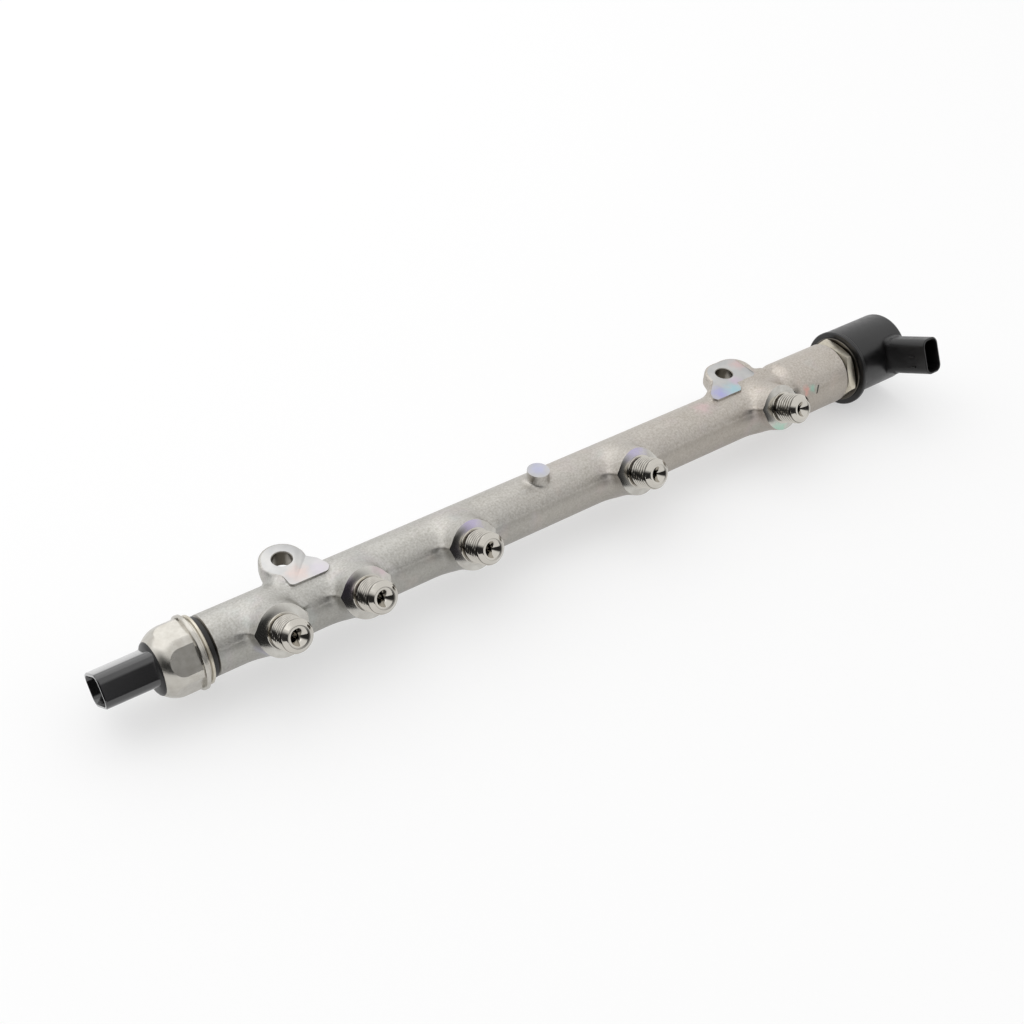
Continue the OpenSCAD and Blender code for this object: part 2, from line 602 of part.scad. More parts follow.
// Helical spring swept from rings of points round the wire.
module valve_spring() color([0.7, 0.7, 0.7]) at_right() {
    turns = 5;
    seg = 90;
    side = 8;
    z0 = spring_foot + spring_wire + 0.05;
    h = sleeve_end - 0.05 - spring_wire - z0;
    pts = [for (i = [0:seg]) let (t = i / seg, a = 360 * turns * t) for (j = [0:side - 1])
        let (b = 360 * j / side) [
            (spring_r + spring_wire * cos(b)) * cos(a), (spring_r + spring_wire * cos(b)) * sin(a),
            z0 + h * t + spring_wire * sin(b)]];
    faces = concat(
        [for (i = [0:seg - 1], j = [0:side - 1]) [i * side + j, i * side + (j + 1) % side, (i + 1) * side + j]],
        [for (i = [0:seg - 1], j = [0:side - 1])
            [i * side + (j + 1) % side, (i + 1) * side + (j + 1) % side, (i + 1) * side + j]],
        [[for (j = [side - 1:-1:0]) j]], [[for (j = [0:side - 1]) seg * side + j]]);
    polyhedron(pts, faces, convexity = 10);
}
module valve_sleeve() color([0.78, 0.78, 0.8]) at_right() translate([0, 0, v_coil]) difference() {
    cylinder(r = pole_r + 0.05 + sleeve_wall, h = sleeve_end + sleeve_wall - v_coil);
    translate([0, 0, -1]) cylinder(r = pole_r + 0.05, h = sleeve_end - v_coil + 1);
}
sleeve_out = pole_r + 0.05 + sleeve_wall;
module valve_pole_plate() color([0.78, 0.78, 0.78]) at_right() translate([0, 0, v_plate]) difference() {
    rotate_extrude() polygon([[0, 0], [plate_r - 0.3, 0], [plate_r, 0.3], [plate_r, plate_h], [0, plate_h]]);
    translate([0, 0, -1]) cylinder(r = neck_r + 0.05, h = 10);
}
module valve_bobbin() color([0.25, 0.25, 0.27]) at_right() translate([0, 0, v_coil]) difference() {
    union() {
        cylinder(r = sleeve_out + 1.05, h = bobbin_h);
        cylinder(r = coil_r + 0.4, h = bobbin_t);
        translate([0, 0, bobbin_h - bobbin_t]) cylinder(r = coil_r + 0.4, h = bobbin_t);
    }
    translate([0, 0, -1]) cylinder(r = sleeve_out + 0.05, h = bobbin_h + 2);
    for (i = [-1, 1]) blade_hole(i, -v_coil);
}
module valve_coil() color([0.72, 0.4, 0.2]) at_right() translate([0, 0, v_coil + bobbin_t + fit])
    tube_of(coil_r, sleeve_out + 1.1, coil_h);
module valve_can() color([0.5, 0.5, 0.5]) at_right() translate([0, 0, v_coil]) difference() {
    cylinder(r = can_r, h = v_can_end - v_coil + can_floor);
    translate([0, 0, -1]) cylinder(r = can_r - can_wall, h = v_can_end - v_coil + 1);
    cylinder(r = sleeve_out + 0.05, h = 60);
    for (i = [-1, 1]) blade_hole(i, -v_coil);
}
// Both contact blades leave the bobbin, pass the can's floor and turn into the socket.
blade_r = 10.6;
blade_foot = v_can_end - fit - bobbin_t + 0.2;
module blade_hole(i, dz) translate([0, 0, dz]) to_plug_frame()
    translate([blade_r + 0.4, i * blade_gap / 2, blade_foot + 10]) cube([1.2, 2.2, 20], center = true);
// turns local X onto the direction of the stubs
module to_plug_frame() rotate([0, 0, 180 + plug_dir]) children();
module valve_pins() color([0.78, 0.66, 0.4]) at_right() to_plug_frame() for (i = [-1, 1]) {
    translate([blade_r, i * blade_gap / 2 - 0.75, blade_foot]) cube([0.8, 1.5, plug_mid + 0.4 - blade_foot]);
    translate([blade_r, i * blade_gap / 2 - 0.75, plug_mid - 0.4]) cube([plug_len - blade_back - blade_r, 1.5, 0.8]);
}
module plug_plan(inset) round_rect(plug_a - inset, plug_b - inset, plug_corner - inset * 0.5);
module along_plug() to_plug_frame() translate([0, 0, plug_mid]) rotate([0, 90, 0]) children();
module valve_housing() color([0.14, 0.14, 0.15]) at_right() difference() {
    union() {
        translate([0, 0, v_flange]) rotate_extrude() polygon([
            [0, 0], [cap_flange_r - 0.5, 0], [cap_flange_r, 0.5], [cap_flange_r, cap_flange_h - 0.8],
            [cap_flange_r - 0.8, cap_flange_h], [0, cap_flange_h]]);
        rotate([0, 0, 180 - cap_off_dir]) translate([cap_off, 0, v_flange + 0.5]) rotate_extrude() {
            square([cap_r, cap_len - 0.5 - cap_round]);
            square([cap_r - cap_round, cap_len - 0.5]);
            translate([cap_r - cap_round, cap_len - 0.5 - cap_round]) circle(r = cap_round, $fn = 64);
        }
        along_plug() linear_extrude(plug_len) plug_plan(0);
    }
    translate([0, 0, v_flange - 1]) cylinder(r = plate_r + 0.05, h = v_coil - v_flange + 1);
    translate([0, 0, v_flange]) cylinder(r = can_r + 0.05, h = v_can_end + can_floor - v_flange + 0.05);
    translate([0, 0, v_flange]) cylinder(r = sleeve_out + 0.05, h = sleeve_end + sleeve_wall - v_flange + 0.05);
    along_plug() translate([0, 0, plug_len - plug_depth]) linear_extrude(plug_depth + 1) plug_plan(plug_wall);
    to_plug_frame() for (i = [-1, 1]) {
        translate([blade_r, i * blade_gap / 2 - 0.75, blade_foot]) cube([0.8, 1.5, plug_mid + 0.4 - blade_foot]);
        translate([blade_r, i * blade_gap / 2 - 0.75, plug_mid - 0.4]) cube([plug_len - blade_r, 1.5, 0.8]);
    }
}
module valve_o_ring() color([0.08, 0.08, 0.08]) at_right()
    translate([0, 0, ring_groove_z - ring_groove_w + 1.2]) ring_of((ring_groove_r + shank_bore_r) / 2, 0.85);
module valve_backup_ring() color([0.9, 0.9, 0.88]) at_right()
    translate([0, 0, ring_groove_z - 1.5]) tube_of(shank_bore_r - 0.05, ring_groove_r + 0.05, 1.4);

rail_body();
sensor_body();
sensor_seal_ring();
sensor_washer();
sensor_cell();
sensor_carrier();
sensor_board();
sensor_o_ring();
sensor_housing();
sensor_pins();
valve_union_nut();
valve_body();
valve_seat();
valve_ball();
valve_push_pin();
valve_armature();
valve_spring();
valve_sleeve();
valve_pole_plate();
valve_bobbin();
valve_coil();
valve_can();
valve_housing();
valve_pins();
valve_o_ring();
valve_backup_ring();
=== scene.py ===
# %% [markdown]
# # A diesel common-rail fuel rail
#
# The real object is one steel forging with five turned pipe stubs, two bolt lugs and a small
# datum boss. A pressure sensor closes its left end and a pressure control valve its right end.
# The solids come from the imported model. This lesson gives them their surfaces, and rebuilds
# the forging with the soft blends that a forging die leaves.

# %% Load the fixed frame
import json
import math

import bmesh
import bpy
from mathutils import Matrix, Vector


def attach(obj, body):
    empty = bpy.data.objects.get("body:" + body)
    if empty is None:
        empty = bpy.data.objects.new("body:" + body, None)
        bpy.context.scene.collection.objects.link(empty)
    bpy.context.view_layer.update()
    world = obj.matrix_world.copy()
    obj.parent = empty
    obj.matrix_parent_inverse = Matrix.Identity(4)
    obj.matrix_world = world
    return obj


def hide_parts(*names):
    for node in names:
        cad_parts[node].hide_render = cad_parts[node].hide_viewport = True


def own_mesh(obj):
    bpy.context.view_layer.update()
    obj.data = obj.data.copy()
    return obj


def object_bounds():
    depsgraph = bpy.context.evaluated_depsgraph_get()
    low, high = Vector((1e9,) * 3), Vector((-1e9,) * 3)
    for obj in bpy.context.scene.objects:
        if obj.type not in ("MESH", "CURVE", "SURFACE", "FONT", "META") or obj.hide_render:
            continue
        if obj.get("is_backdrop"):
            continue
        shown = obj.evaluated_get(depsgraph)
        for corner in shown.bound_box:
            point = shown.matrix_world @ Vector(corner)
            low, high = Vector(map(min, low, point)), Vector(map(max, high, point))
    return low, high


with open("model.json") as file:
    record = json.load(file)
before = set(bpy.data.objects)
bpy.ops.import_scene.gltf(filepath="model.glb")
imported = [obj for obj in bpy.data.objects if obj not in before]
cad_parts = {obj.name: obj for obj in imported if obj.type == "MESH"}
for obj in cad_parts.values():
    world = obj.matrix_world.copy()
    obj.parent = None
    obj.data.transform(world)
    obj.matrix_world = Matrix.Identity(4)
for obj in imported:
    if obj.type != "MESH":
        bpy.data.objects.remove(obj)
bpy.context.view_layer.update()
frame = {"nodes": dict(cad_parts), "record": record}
MM = 0.001

# %% [markdown]
# ## Where things are
#
# The model's origin lies under the lugs, midway between the bolt holes. The tube's axis is
# 13.7 mm in front of it and 7 mm below it. Most sizes are easier to say from the tube's axis,
# so one function turns such a point into the model's frame. The stubs lean 29 degrees up
# from level.

# %% Shared sizes, in millimetres
AXIS = Vector((0.0, -13.7, -7.0))
TILT = math.radians(29)
LEFT_END, RIGHT_END = -165.8, 184.6
STUBS = (-140.4, -101.9, -49.4, 41.6, 132.6)
LUG_X, LUG_Y, LUG_TOP, LUG_UNDER = 123.0, 13.7, 14.4, 7.0
DATUM_X, DATUM_R = -2.7, 5.05
STUB_PITCH = 91.0
STUB_DIR = Vector((0, -math.cos(TILT), math.sin(TILT)))


def at(x, y, z):
    """A point in millimetres from the tube's axis, in metres in the model's frame."""
    return (Vector((x, y, z)) + AXIS) * MM


def stub_frame(x):
    """Matrix that stands a piece with its foot on the axis, upright along a stub."""
    turn = Matrix.Rotation(math.pi / 2 - TILT, 4, "X")
    return Matrix.Translation(at(x, 0, 0)) @ turn @ Matrix.Scale(MM, 4)


def facing_x(x, turn):
    """Frame in millimetres on the tube's axis at x, turned about Y so that Z runs along it."""
    turned_frame = Matrix.Translation(at(x, 0, 0)) @ Matrix.Rotation(math.radians(turn), 4, "Y")
    return turned_frame @ Matrix.Scale(MM, 4)


print("stub direction:", [round(v, 3) for v in STUB_DIR])

# %% [markdown]
# ## Colours and a way to write node trees
#
# Colours are picked as the sRGB hex codes that a screen shows. Blender mixes light in linear
# values, so one function converts them. One more adds a node to a tree with its settings and
# links, so that each material reads like a recipe. A node passed on stands for its first output.

# %% Colour and node helpers
def paint(code):
    """Linear RGBA from an sRGB hex code."""
    out = []
    for i in (0, 2, 4):
        c = int(code.lstrip("#")[i:i + 2], 16) / 255
        out.append(c / 12.92 if c <= 0.04045 else ((c + 0.055) / 1.055) ** 2.4)
    return (*out, 1.0)


MATH, VECTOR_MATH, MAP_RANGE = "ShaderNodeMath", "ShaderNodeVectorMath", "ShaderNodeMapRange"


def wire(tree, value, socket):
    """Gives a socket a value, or a link from another socket or from a node's first output."""
    if isinstance(value, bpy.types.Node):
        value = value.outputs[0]
    if isinstance(value, bpy.types.NodeSocket):
        tree.links.new(value, socket)
    else:
        socket.default_value = value


def add(tree, kind, inputs=(), stops=(), **settings):
    """Adds a node with its settings and links. inputs come in the sockets' order, or as a dict
    by a socket's name or number. stops are the places and hex colours of a colour ramp."""
    node = tree.nodes.new(kind)
    for key, value in settings.items():
        setattr(node, key, value)
    for key, value in inputs.items() if isinstance(inputs, dict) else enumerate(inputs):
        wire(tree, value, node.inputs[key])
    if stops:
        points = node.color_ramp.elements
        while len(points) < len(stops):
            points.new(0.5)
        for point, (place, code) in zip(points, stops):
            point.position, point.color = place, paint(code)
    return node


def length2(tree, a, b):
    """Length of a flat vector."""
    squares = [add(tree, MATH, (v, v), operation="MULTIPLY") for v in (a, b)]
    return add(tree, MATH, (add(tree, MATH, (*squares,), operation="ADD"),), operation="SQRT")


def dot2(tree, x, y, a, b):
    """x times a plus y times b."""
    return add(tree, MATH, (add(tree, MATH, (x, a), operation="MULTIPLY"),
                            add(tree, MATH, (y, b), operation="MULTIPLY")), operation="ADD")


def tube_point(tree, place):
    """Sockets for x, y and z from the tube's axis, of a place in millimetres."""
    moved = add(tree, VECTOR_MATH, {0: place, 1: tuple(-AXIS)}, operation="ADD")
    return add(tree, "ShaderNodeSeparateXYZ", {0: moved}).outputs


def around(tree, y, z):
    """Angle round the tube in degrees, from the top toward the front."""
    angle = add(tree, MATH, (add(tree, MATH, (y, -1.0), operation="MULTIPLY"), z),
                operation="ARCTAN2")
    return add(tree, MATH, (angle, 180 / math.pi), operation="MULTIPLY")


def by_stub(tree, x, y, z):
    """Distance down the tube from the nearest stub, and the places along and across a stub."""
    far = None
    for stub in STUBS:
        gap = add(tree, MATH, (add(tree, MATH, (x, stub), operation="SUBTRACT"),),
                  operation="ABSOLUTE")
        far = gap if far is None else add(tree, MATH, (far, gap), operation="MINIMUM")
    along = dot2(tree, y, z, STUB_DIR.y, STUB_DIR.z)
    across = dot2(tree, y, z, STUB_DIR.z, -STUB_DIR.y)
    return far, along, across


print("steel grey is", [round(v, 3) for v in paint("#C4C1BA")])

# %% [markdown]
# ## Finishes
#
# Each finish starts as a Principled shader with the values of the real material. A helper
# makes the shader, the coordinates in millimetres and the bump chain, and every finish then
# adds its own colour and relief.

# %% The shared start of a finish
class Finish:
    """A material with a Principled shader and object coordinates in millimetres."""

    def __init__(self, name, base, metallic, roughness, **sockets):
        self.material = bpy.data.materials.new(name)
        self.material.use_nodes = True
        self.tree = self.material.node_tree
        self.shader = self.tree.nodes["Principled BSDF"]
        values = {"Base Color": paint(base), "Metallic": metallic, "Roughness": roughness,
                  **sockets}
        for key, value in values.items():
            self.shader.inputs[key].default_value = value
        coords = add(self.tree, "ShaderNodeTexCoord").outputs["Object"]
        self.place = add(self.tree, VECTOR_MATH, {0: coords, 1: (1000, 1000, 1000)},
                         operation="MULTIPLY")
        self.normal = None

    def noise(self, size_mm, detail=3.0, roughness=0.5, stretch=(1, 1, 1)):
        """Noise whose blobs are about size_mm across."""
        scaled = add(self.tree, VECTOR_MATH, {0: self.place, 1: stretch}, operation="MULTIPLY")
        return add(self.tree, "ShaderNodeTexNoise", {"Vector": scaled, "Scale": 1 / size_mm,
                                                     "Detail": detail, "Roughness": roughness})

    def bump(self, height, depth_mm, strength=1.0):
        inputs = {"Height": height, "Distance": depth_mm * MM, "Strength": strength}
        if self.normal is not None:
            inputs["Normal"] = self.normal
        self.normal = add(self.tree, "ShaderNodeBump", inputs)
        wire(self.tree, self.normal, self.shader.inputs["Normal"])

    def colour(self, value):
        wire(self.tree, value, self.shader.inputs["Base Color"])

    def rough(self, value, low, high):
        mapped = add(self.tree, MAP_RANGE, {"Value": value, "From Min": 0.3, "From Max": 0.7,
                                            "To Min": low, "To Max": high})
        wire(self.tree, mapped, self.shader.inputs["Roughness"])


print("finish helper ready")

# %% [markdown]
# ### Zinc-plated forging
#
# The rail is a steel forging, shot-blasted and zinc plated. Blasting leaves a fine pebbled
# skin, and the bright plating over it gives a broad, soft sheen. The die's parting line runs
# along the front. Below it the skin is painted a little darker, as painted shade of the tube's
# lower side. Thin passivation adds faint tints where the plating ran off machined edges.

# %% Zinc-plated forging
def rainbow(finish, base, spots):
    """Passivation tints: each spot is a place from the tube's axis, a reach in mm and a hue."""
    tree = finish.tree
    colour = base
    wobble = add(tree, "ShaderNodeTexNoise",
                 {"Vector": finish.place, "Scale": 0.35, "Detail": 1.0}).outputs[1]
    shifted = add(tree, VECTOR_MATH, {0: wobble, 1: (5, 5, 5)}, operation="MULTIPLY")
    moved = add(tree, VECTOR_MATH, {0: finish.place, 1: shifted}, operation="ADD")
    for (x, y, z), reach, hue, share in spots:
        centre = Vector((x, y, z)) + AXIS + Vector((2.5, 2.5, 2.5))
        away = add(tree, VECTOR_MATH, {0: moved, 1: tuple(centre)}, operation="DISTANCE")
        near = add(tree, MAP_RANGE, {"Value": away.outputs["Value"], "From Min": reach,
                                     "From Max": 0.0, "To Max": share},
                   interpolation_type="SMOOTHSTEP")
        colour = add(tree, "ShaderNodeMix", {0: near, 6: colour, 7: paint(hue)},
                     data_type="RGBA").outputs[2]
    return colour


forging = Finish("zinc_plated_forging", "#C2BFB8", 1.0, 0.42)
t = forging.tree
fx, fy, fz = tube_point(t, forging.place)
speck = forging.noise(0.9, 4, 0.65)
cloud = forging.noise(14, 2, 0.5, (0.6, 1, 1))
skin = add(t, "ShaderNodeValToRGB", (speck,),
           [(0.3, "#989388"), (0.5, "#BDBAB5"), (0.7, "#D8D6D0")])
clouds = add(t, "ShaderNodeValToRGB", (cloud,), [(0.3, "#ADA9A1"), (0.7, "#C9C7C3")])
skin = add(t, "ShaderNodeMix", {0: 0.3, 6: skin, 7: clouds}, data_type="RGBA").outputs[2]
angle = around(t, fy, fz)
# painted shade: below the parting line the skin is mixed toward a darker grey, for the tube's
# shaded lower side
wander = add(t, MATH, (add(t, MATH, (forging.noise(6, 2), 0.5), operation="SUBTRACT"), 5.0),
             operation="MULTIPLY")
below = add(t, MAP_RANGE, {"Value": add(t, MATH, (angle, wander), operation="ADD"),
                           "From Min": 57.0, "From Max": 61.0})
skin = add(t, "ShaderNodeMix", {0: add(t, MATH, (below, 0.42), operation="MULTIPLY"), 6: skin,
                                7: paint("#918E87")}, data_type="RGBA").outputs[2]
tint_zone = add(t, MAP_RANGE, {"Value": forging.noise(11, 1), "From Min": 0.56, "From Max": 0.68,
                               "To Max": 0.15})
tint = add(t, "ShaderNodeValToRGB", (forging.noise(9, 1, stretch=(1, 1.3, 1)),),
           [(0.35, "#B8C8C9"), (0.5, "#CBB9C9"), (0.65, "#D2BFB6")])
skin = add(t, "ShaderNodeMix", {0: tint_zone, 6: skin, 7: tint}, data_type="RGBA").outputs[2]
rightward = add(t, MAP_RANGE, {"Value": fx, "From Min": -120.0, "From Max": 150.0},
                interpolation_type="SMOOTHSTEP")
left_to_right = add(t, "ShaderNodeMix", {0: rightward, 6: paint("#ADAEAA"), 7: paint("#B7A797")},
                    data_type="RGBA").outputs[2]
skin = add(t, "ShaderNodeMix", {0: 0.3, 6: skin, 7: left_to_right}, data_type="RGBA").outputs[2]
skin = rainbow(forging, skin, [((155, -13.2, 8.2), 3.6, "#D9A79C", 0.9),
                               ((159.5, -13.3, 8), 3.2, "#9CC5B5", 0.9),
                               ((-152, -20, 3), 7, "#B3AECB", 0.6),
                               ((96, 0, 12), 7, "#D8B9BC", 0.5)])
# a short dark dash on the head, about 4 mm long and leaning a little
DASH_X, DASH_HALF_WIDTH, DASH_ANGLE, DASH_HALF_ANGLE, DASH_LEAN = 170.4, 0.5, 64.0, 7.5, 0.12
leaning = add(t, MATH, (fx, add(t, MATH, (angle, DASH_LEAN), operation="MULTIPLY")),
              operation="ADD")
dash_x = add(t, MATH, (add(t, MATH, (leaning, DASH_X), operation="SUBTRACT"),),
             operation="ABSOLUTE")
dash_a = add(t, MATH, (add(t, MATH, (angle, DASH_ANGLE), operation="SUBTRACT"),),
             operation="ABSOLUTE")
in_x = add(t, MATH, (dash_x, DASH_HALF_WIDTH), operation="LESS_THAN")
in_a = add(t, MATH, (dash_a, DASH_HALF_ANGLE), operation="LESS_THAN")
inked = add(t, MATH, (add(t, MATH, (in_x, in_a), operation="MULTIPLY"), 0.85), operation="MULTIPLY")
forging.colour(add(t, "ShaderNodeMix", {0: inked, 6: skin, 7: paint("#1E1C1D")},
                   data_type="RGBA").outputs[2])
forging.rough(cloud, 0.36, 0.5)
forging.bump(speck, 0.18, 0.7)
streaks = forging.noise(1.6, 3, 0.6, (0.12, 1, 1))
forging.bump(streaks, 0.12, 0.35)
forging.bump(forging.noise(4.5, 2), 0.25, 0.35)
print("finish:", forging.material.name)

# %% [markdown]
# ### Turned and milled steel
#
# Cutting tools leave fine parallel grooves. On the turned stubs these run round the stub, on
# the milled lug faces they sweep across. Both shine more than the forged skin, and the
# passivation gives the milled faces a faint lilac and blue tint.

# %% Turned and milled steel
turned = Finish("turned_steel_stub", "#BDB9B1", 1.0, 0.1)
turned.bump(turned.noise(0.35, 2, stretch=(1, 3, 3)), 0.008, 0.25)
turned.rough(turned.noise(2.5, 3), 0.07, 0.16)
# The thread's grooves are painted darker than its crests: painted shade in the grooves. Their
# depth is counted from the blank, which is chamfered at its tip.
t = turned.tree
far, along, across = by_stub(t, *tube_point(t, turned.place))
out = length2(t, far, across)
BLANK_R, CHAMFER_SUM = 7.0, 39.36  # on the chamfer, radius and height add up to the second
blank = add(t, MATH, (BLANK_R, add(t, MATH, (CHAMFER_SUM, along), operation="SUBTRACT")),
            operation="MINIMUM")
below = add(t, MATH, (blank, out), operation="SUBTRACT")
groove_shade_by_depth = add(t, MAP_RANGE, {"Value": below, "From Min": 0.15, "From Max": 0.7, "To Max": 0.85},
           interpolation_type="SMOOTHSTEP")
outside = add(t, MAP_RANGE, {"Value": out, "From Min": 4.9, "From Max": 5.2},
              interpolation_type="SMOOTHSTEP")
groove = add(t, MATH, (groove_shade_by_depth, outside), operation="MULTIPLY")
turned.colour(add(t, "ShaderNodeMix", {0: groove, 6: paint("#C6C2BA"), 7: paint("#4A4640")},
                  data_type="RGBA").outputs[2])


# milled steel: tool tracks in one direction spread a highlight across them
milled = Finish("milled_lug_face", "#BEBEBD", 1.0, 0.36)
milled.colour(rainbow(milled, add(milled.tree, "ShaderNodeValToRGB", (milled.noise(7, 2),),
                                  [(0.35, "#B6B6B6"), (0.65, "#C3C2C0")]),
                      [((-122, 3, 14), 7, "#D8BFB6", 0.6), ((-113, 1, 14), 7, "#C9C0CE", 0.5),
                       ((110, 2, 14), 8, "#A9A9D6", 0.9), ((118, 1, 14), 8, "#A3C6CF", 0.9),
                       ((124, 6, 14), 5, "#CBB4CB", 0.6), ((134, 16, 14), 6, "#D5B7B4", 0.7),
                       ((-2, 1, 17), 7, "#B5B8D6", 0.7)]))
milled.bump(milled.noise(0.5, 2, stretch=(0.15, 1, 1)), 0.03, 0.35)

# faced steel: finer tracks, so it mirrors more
collar = Finish("faced_steel_collar", "#B4B1AC", 1.0, 0.15)
collar.colour(rainbow(collar, add(collar.tree, "ShaderNodeValToRGB", (collar.noise(5, 2),),
                                  [(0.35, "#B4B1AB"), (0.65, "#C6C4BE")]),
                      [((-113, -16, 16), 9, "#C3AFD0", 0.8), ((-92, -14, 18), 7, "#D2B3C0", 0.7),
                       ((-49, -14, 20), 9, "#B9AFD0", 0.8), ((-60, -20, 12), 6, "#C0B0C8", 0.6),
                       ((41, -14, 20), 9, "#B6AED2", 0.8), ((52, -20, 6), 7, "#A8C6C8", 0.8),
                       ((128, -24, 2), 7, "#9FCBB8", 0.9), ((140, -22, 4), 6, "#B0C4CC", 0.6)]))
collar.bump(collar.noise(0.4, 2), 0.006, 0.3)

# bored steel: darker and duller in the holes
bare = Finish("bored_steel", "#8F8B84", 1.0, 0.3)
bare.bump(bare.noise(0.6, 2), 0.03, 0.3)
print("finishes:", turned.material.name, milled.material.name, bare.material.name)

# %% [markdown]
# ### Stainless sensor body, nut steel and other metals
#
# The sensor's hexagon is turned from stainless bar and then milled, so it has a fine satin
# grain. The union nut and the pole plate are plated. The nut is a little yellower, and the pole
# plate is painted dark grey as painted shade.

# %% Stainless, plated nut and inner metals
stainless = Finish("stainless_bar_satin", "#CBC7BF", 1.0, 0.27)
stainless.colour(add(stainless.tree, "ShaderNodeValToRGB", (stainless.noise(3, 3),),
                     [(0.3, "#B9B5AD"), (0.7, "#C6C3BC")]))
stainless.bump(stainless.noise(0.4, 2, stretch=(4, 1, 1)), 0.015, 0.35)
stainless.rough(stainless.noise(5, 2), 0.2, 0.28)

nut_steel = Finish("zinc_plated_nut", "#CFCABB", 1.0, 0.28)
nut_steel.colour(add(nut_steel.tree, "ShaderNodeValToRGB", (nut_steel.noise(2.5, 3),),
                     [(0.3, "#BDB6A6"), (0.7, "#D2CCBE")]))
nut_steel.bump(nut_steel.noise(0.5, 2), 0.02, 0.3)

# soft iron: unplated, so grey and matt
soft_iron = Finish("soft_magnetic_iron", "#8C8A86", 1.0, 0.36)
soft_iron.bump(soft_iron.noise(0.7, 2), 0.03, 0.3)
# ground steel: smooth, so bright and sharp in its reflections
hard_steel = Finish("ground_tool_steel", "#B9B9BC", 1.0, 0.14)
hard_steel.bump(hard_steel.noise(0.3, 2), 0.008, 0.25)
# plated steel plate: painted dark grey, painted shade where it lies between the nut and the cap
plate = Finish("plated_steel_plate_painted_shade", "#5E5A54", 1.0, 0.34)
plate.bump(plate.noise(0.6, 2), 0.02, 0.3)
# tinned brass: pale gold
contact = Finish("tinned_brass_contact", "#CDBB8B", 1.0, 0.25)
contact.bump(contact.noise(0.5, 2), 0.01, 0.25)
print("metals:", stainless.material.name, nut_steel.material.name)

# %% [markdown]
# ### Moulded plastics, rubber, copper wire and the circuit board
#
# Connector housings are glass-filled nylon. It is nearly black, and the mould gives it a very
# fine grain with a soft gloss. Rubber is duller. Enamelled copper wire is glossy and reddish.

# %% Plastics, rubber, winding and board
nylon = Finish("black_moulded_nylon", "#242325", 0.0, 0.4, **{"IOR": 1.53})
nylon.colour(add(nylon.tree, "ShaderNodeValToRGB", (nylon.noise(6, 3),),
                 [(0.3, "#0C0B0C"), (0.7, "#131213")]))
nylon.bump(nylon.noise(0.25, 2), 0.012, 0.3)
nylon.rough(nylon.noise(3, 2), 0.3, 0.4)
# polished polyester: a smooth coat that mirrors over the black
polished = Finish("black_polished_polyester", "#151416", 0.0, 0.18,
                  **{"IOR": 1.57, "Coat Weight": 1.0, "Coat Roughness": 0.05})
polished.colour(add(polished.tree, "ShaderNodeValToRGB", (polished.noise(8, 2),),
                    [(0.3, "#121113"), (0.7, "#181719")]))
polished.bump(polished.noise(0.4, 2), 0.003, 0.2)
rubber = Finish("black_nitrile_rubber", "#161514", 0.0, 0.38)
rubber.bump(rubber.noise(0.5, 2), 0.02, 0.4)
# natural PTFE: white and waxy
pale_plastic = Finish("natural_ptfe", "#D9D6CB", 0.0, 0.5)
pale_plastic.bump(pale_plastic.noise(0.8, 2), 0.01, 0.2)
# circuit board: green lacquer over glass fibre
board = Finish("green_circuit_board", "#1F5A3A", 0.0, 0.35)
board.colour(add(board.tree, "ShaderNodeValToRGB", (board.noise(1.2, 1),),
                 [(0.45, "#1F5A3A"), (0.55, "#2A6E48")]))
winding = Finish("enamelled_copper_wire", "#A4562E", 0.0, 0.25, **{"Coat Weight": 0.5})
wires = add(winding.tree, "ShaderNodeTexWave",
            {"Vector": winding.place, "Scale": 1.6, "Distortion": 0.0}, bands_direction="X")
winding.bump(wires.outputs[1], 0.2, 0.6)
print("plastics and others:", nylon.material.name, winding.material.name)

# %% Give the carried-over nodes their finish
FINISH_OF = {
    "stainless_steel": stainless, "bright_steel": nut_steel, "magnet_steel": soft_iron,
    "hard_steel": hard_steel, "black_plastic": nylon, "pale_plastic": pale_plastic,
    "black_rubber": rubber, "board_green": board, "contact_brass": contact,
    "copper_winding": winding, "plated_steel": forging,
}
SLOT_OF = {part["node"]: part["material_slot"] for part in frame["record"]["subparts"]}
for name, obj in frame["nodes"].items():
    for slot in obj.material_slots:
        # the pole plate takes the dark grey of painted shade in place of its own finish
        slot.material = (plate if name == "valve_pole_plate" else FINISH_OF[SLOT_OF[name]]).material
print("finished nodes:", len(SLOT_OF))

# %% [markdown]
# ## The forging as a field
#
# A forging die has no sharp inner corners: every boss runs into the tube through a soft
# blend. Such a shape is easy to say as a field, a number for each point in space that is
# above zero in the steel and below zero outside. The greater of two fields is both shapes
# together, and a smooth maximum rounds the corner between them. Geometry Nodes write the
# field into a volume and turn its zero surface into a mesh.

# %% Field helpers
def soft_common(tree, a, b, blend):
    return add(tree, MATH, (a, b, blend), operation="SMOOTH_MIN")


def both(tree, a, b, blend):
    return add(tree, MATH, (a, b, blend), operation="SMOOTH_MAX")


def common(tree, *fields):
    out = fields[0]
    for field in fields[1:]:
        out = add(tree, MATH, (out, field), operation="MINIMUM")
    return out


def slab(tree, value, low, high):
    """Field of the space between two planes."""
    off_centre = add(tree, MATH, (value, (high + low) / 2), operation="SUBTRACT")
    return add(tree, MATH, ((high - low) / 2, add(tree, MATH, (off_centre,), operation="ABSOLUTE")),
               operation="SUBTRACT")


def disc(tree, x, y, cx, cy, r):
    """Field of a round column."""
    away = [add(tree, MATH, (v, c), operation="SUBTRACT") for v, c in ((x, cx), (y, cy))]
    return add(tree, MATH, (r, length2(tree, *away)), operation="SUBTRACT")


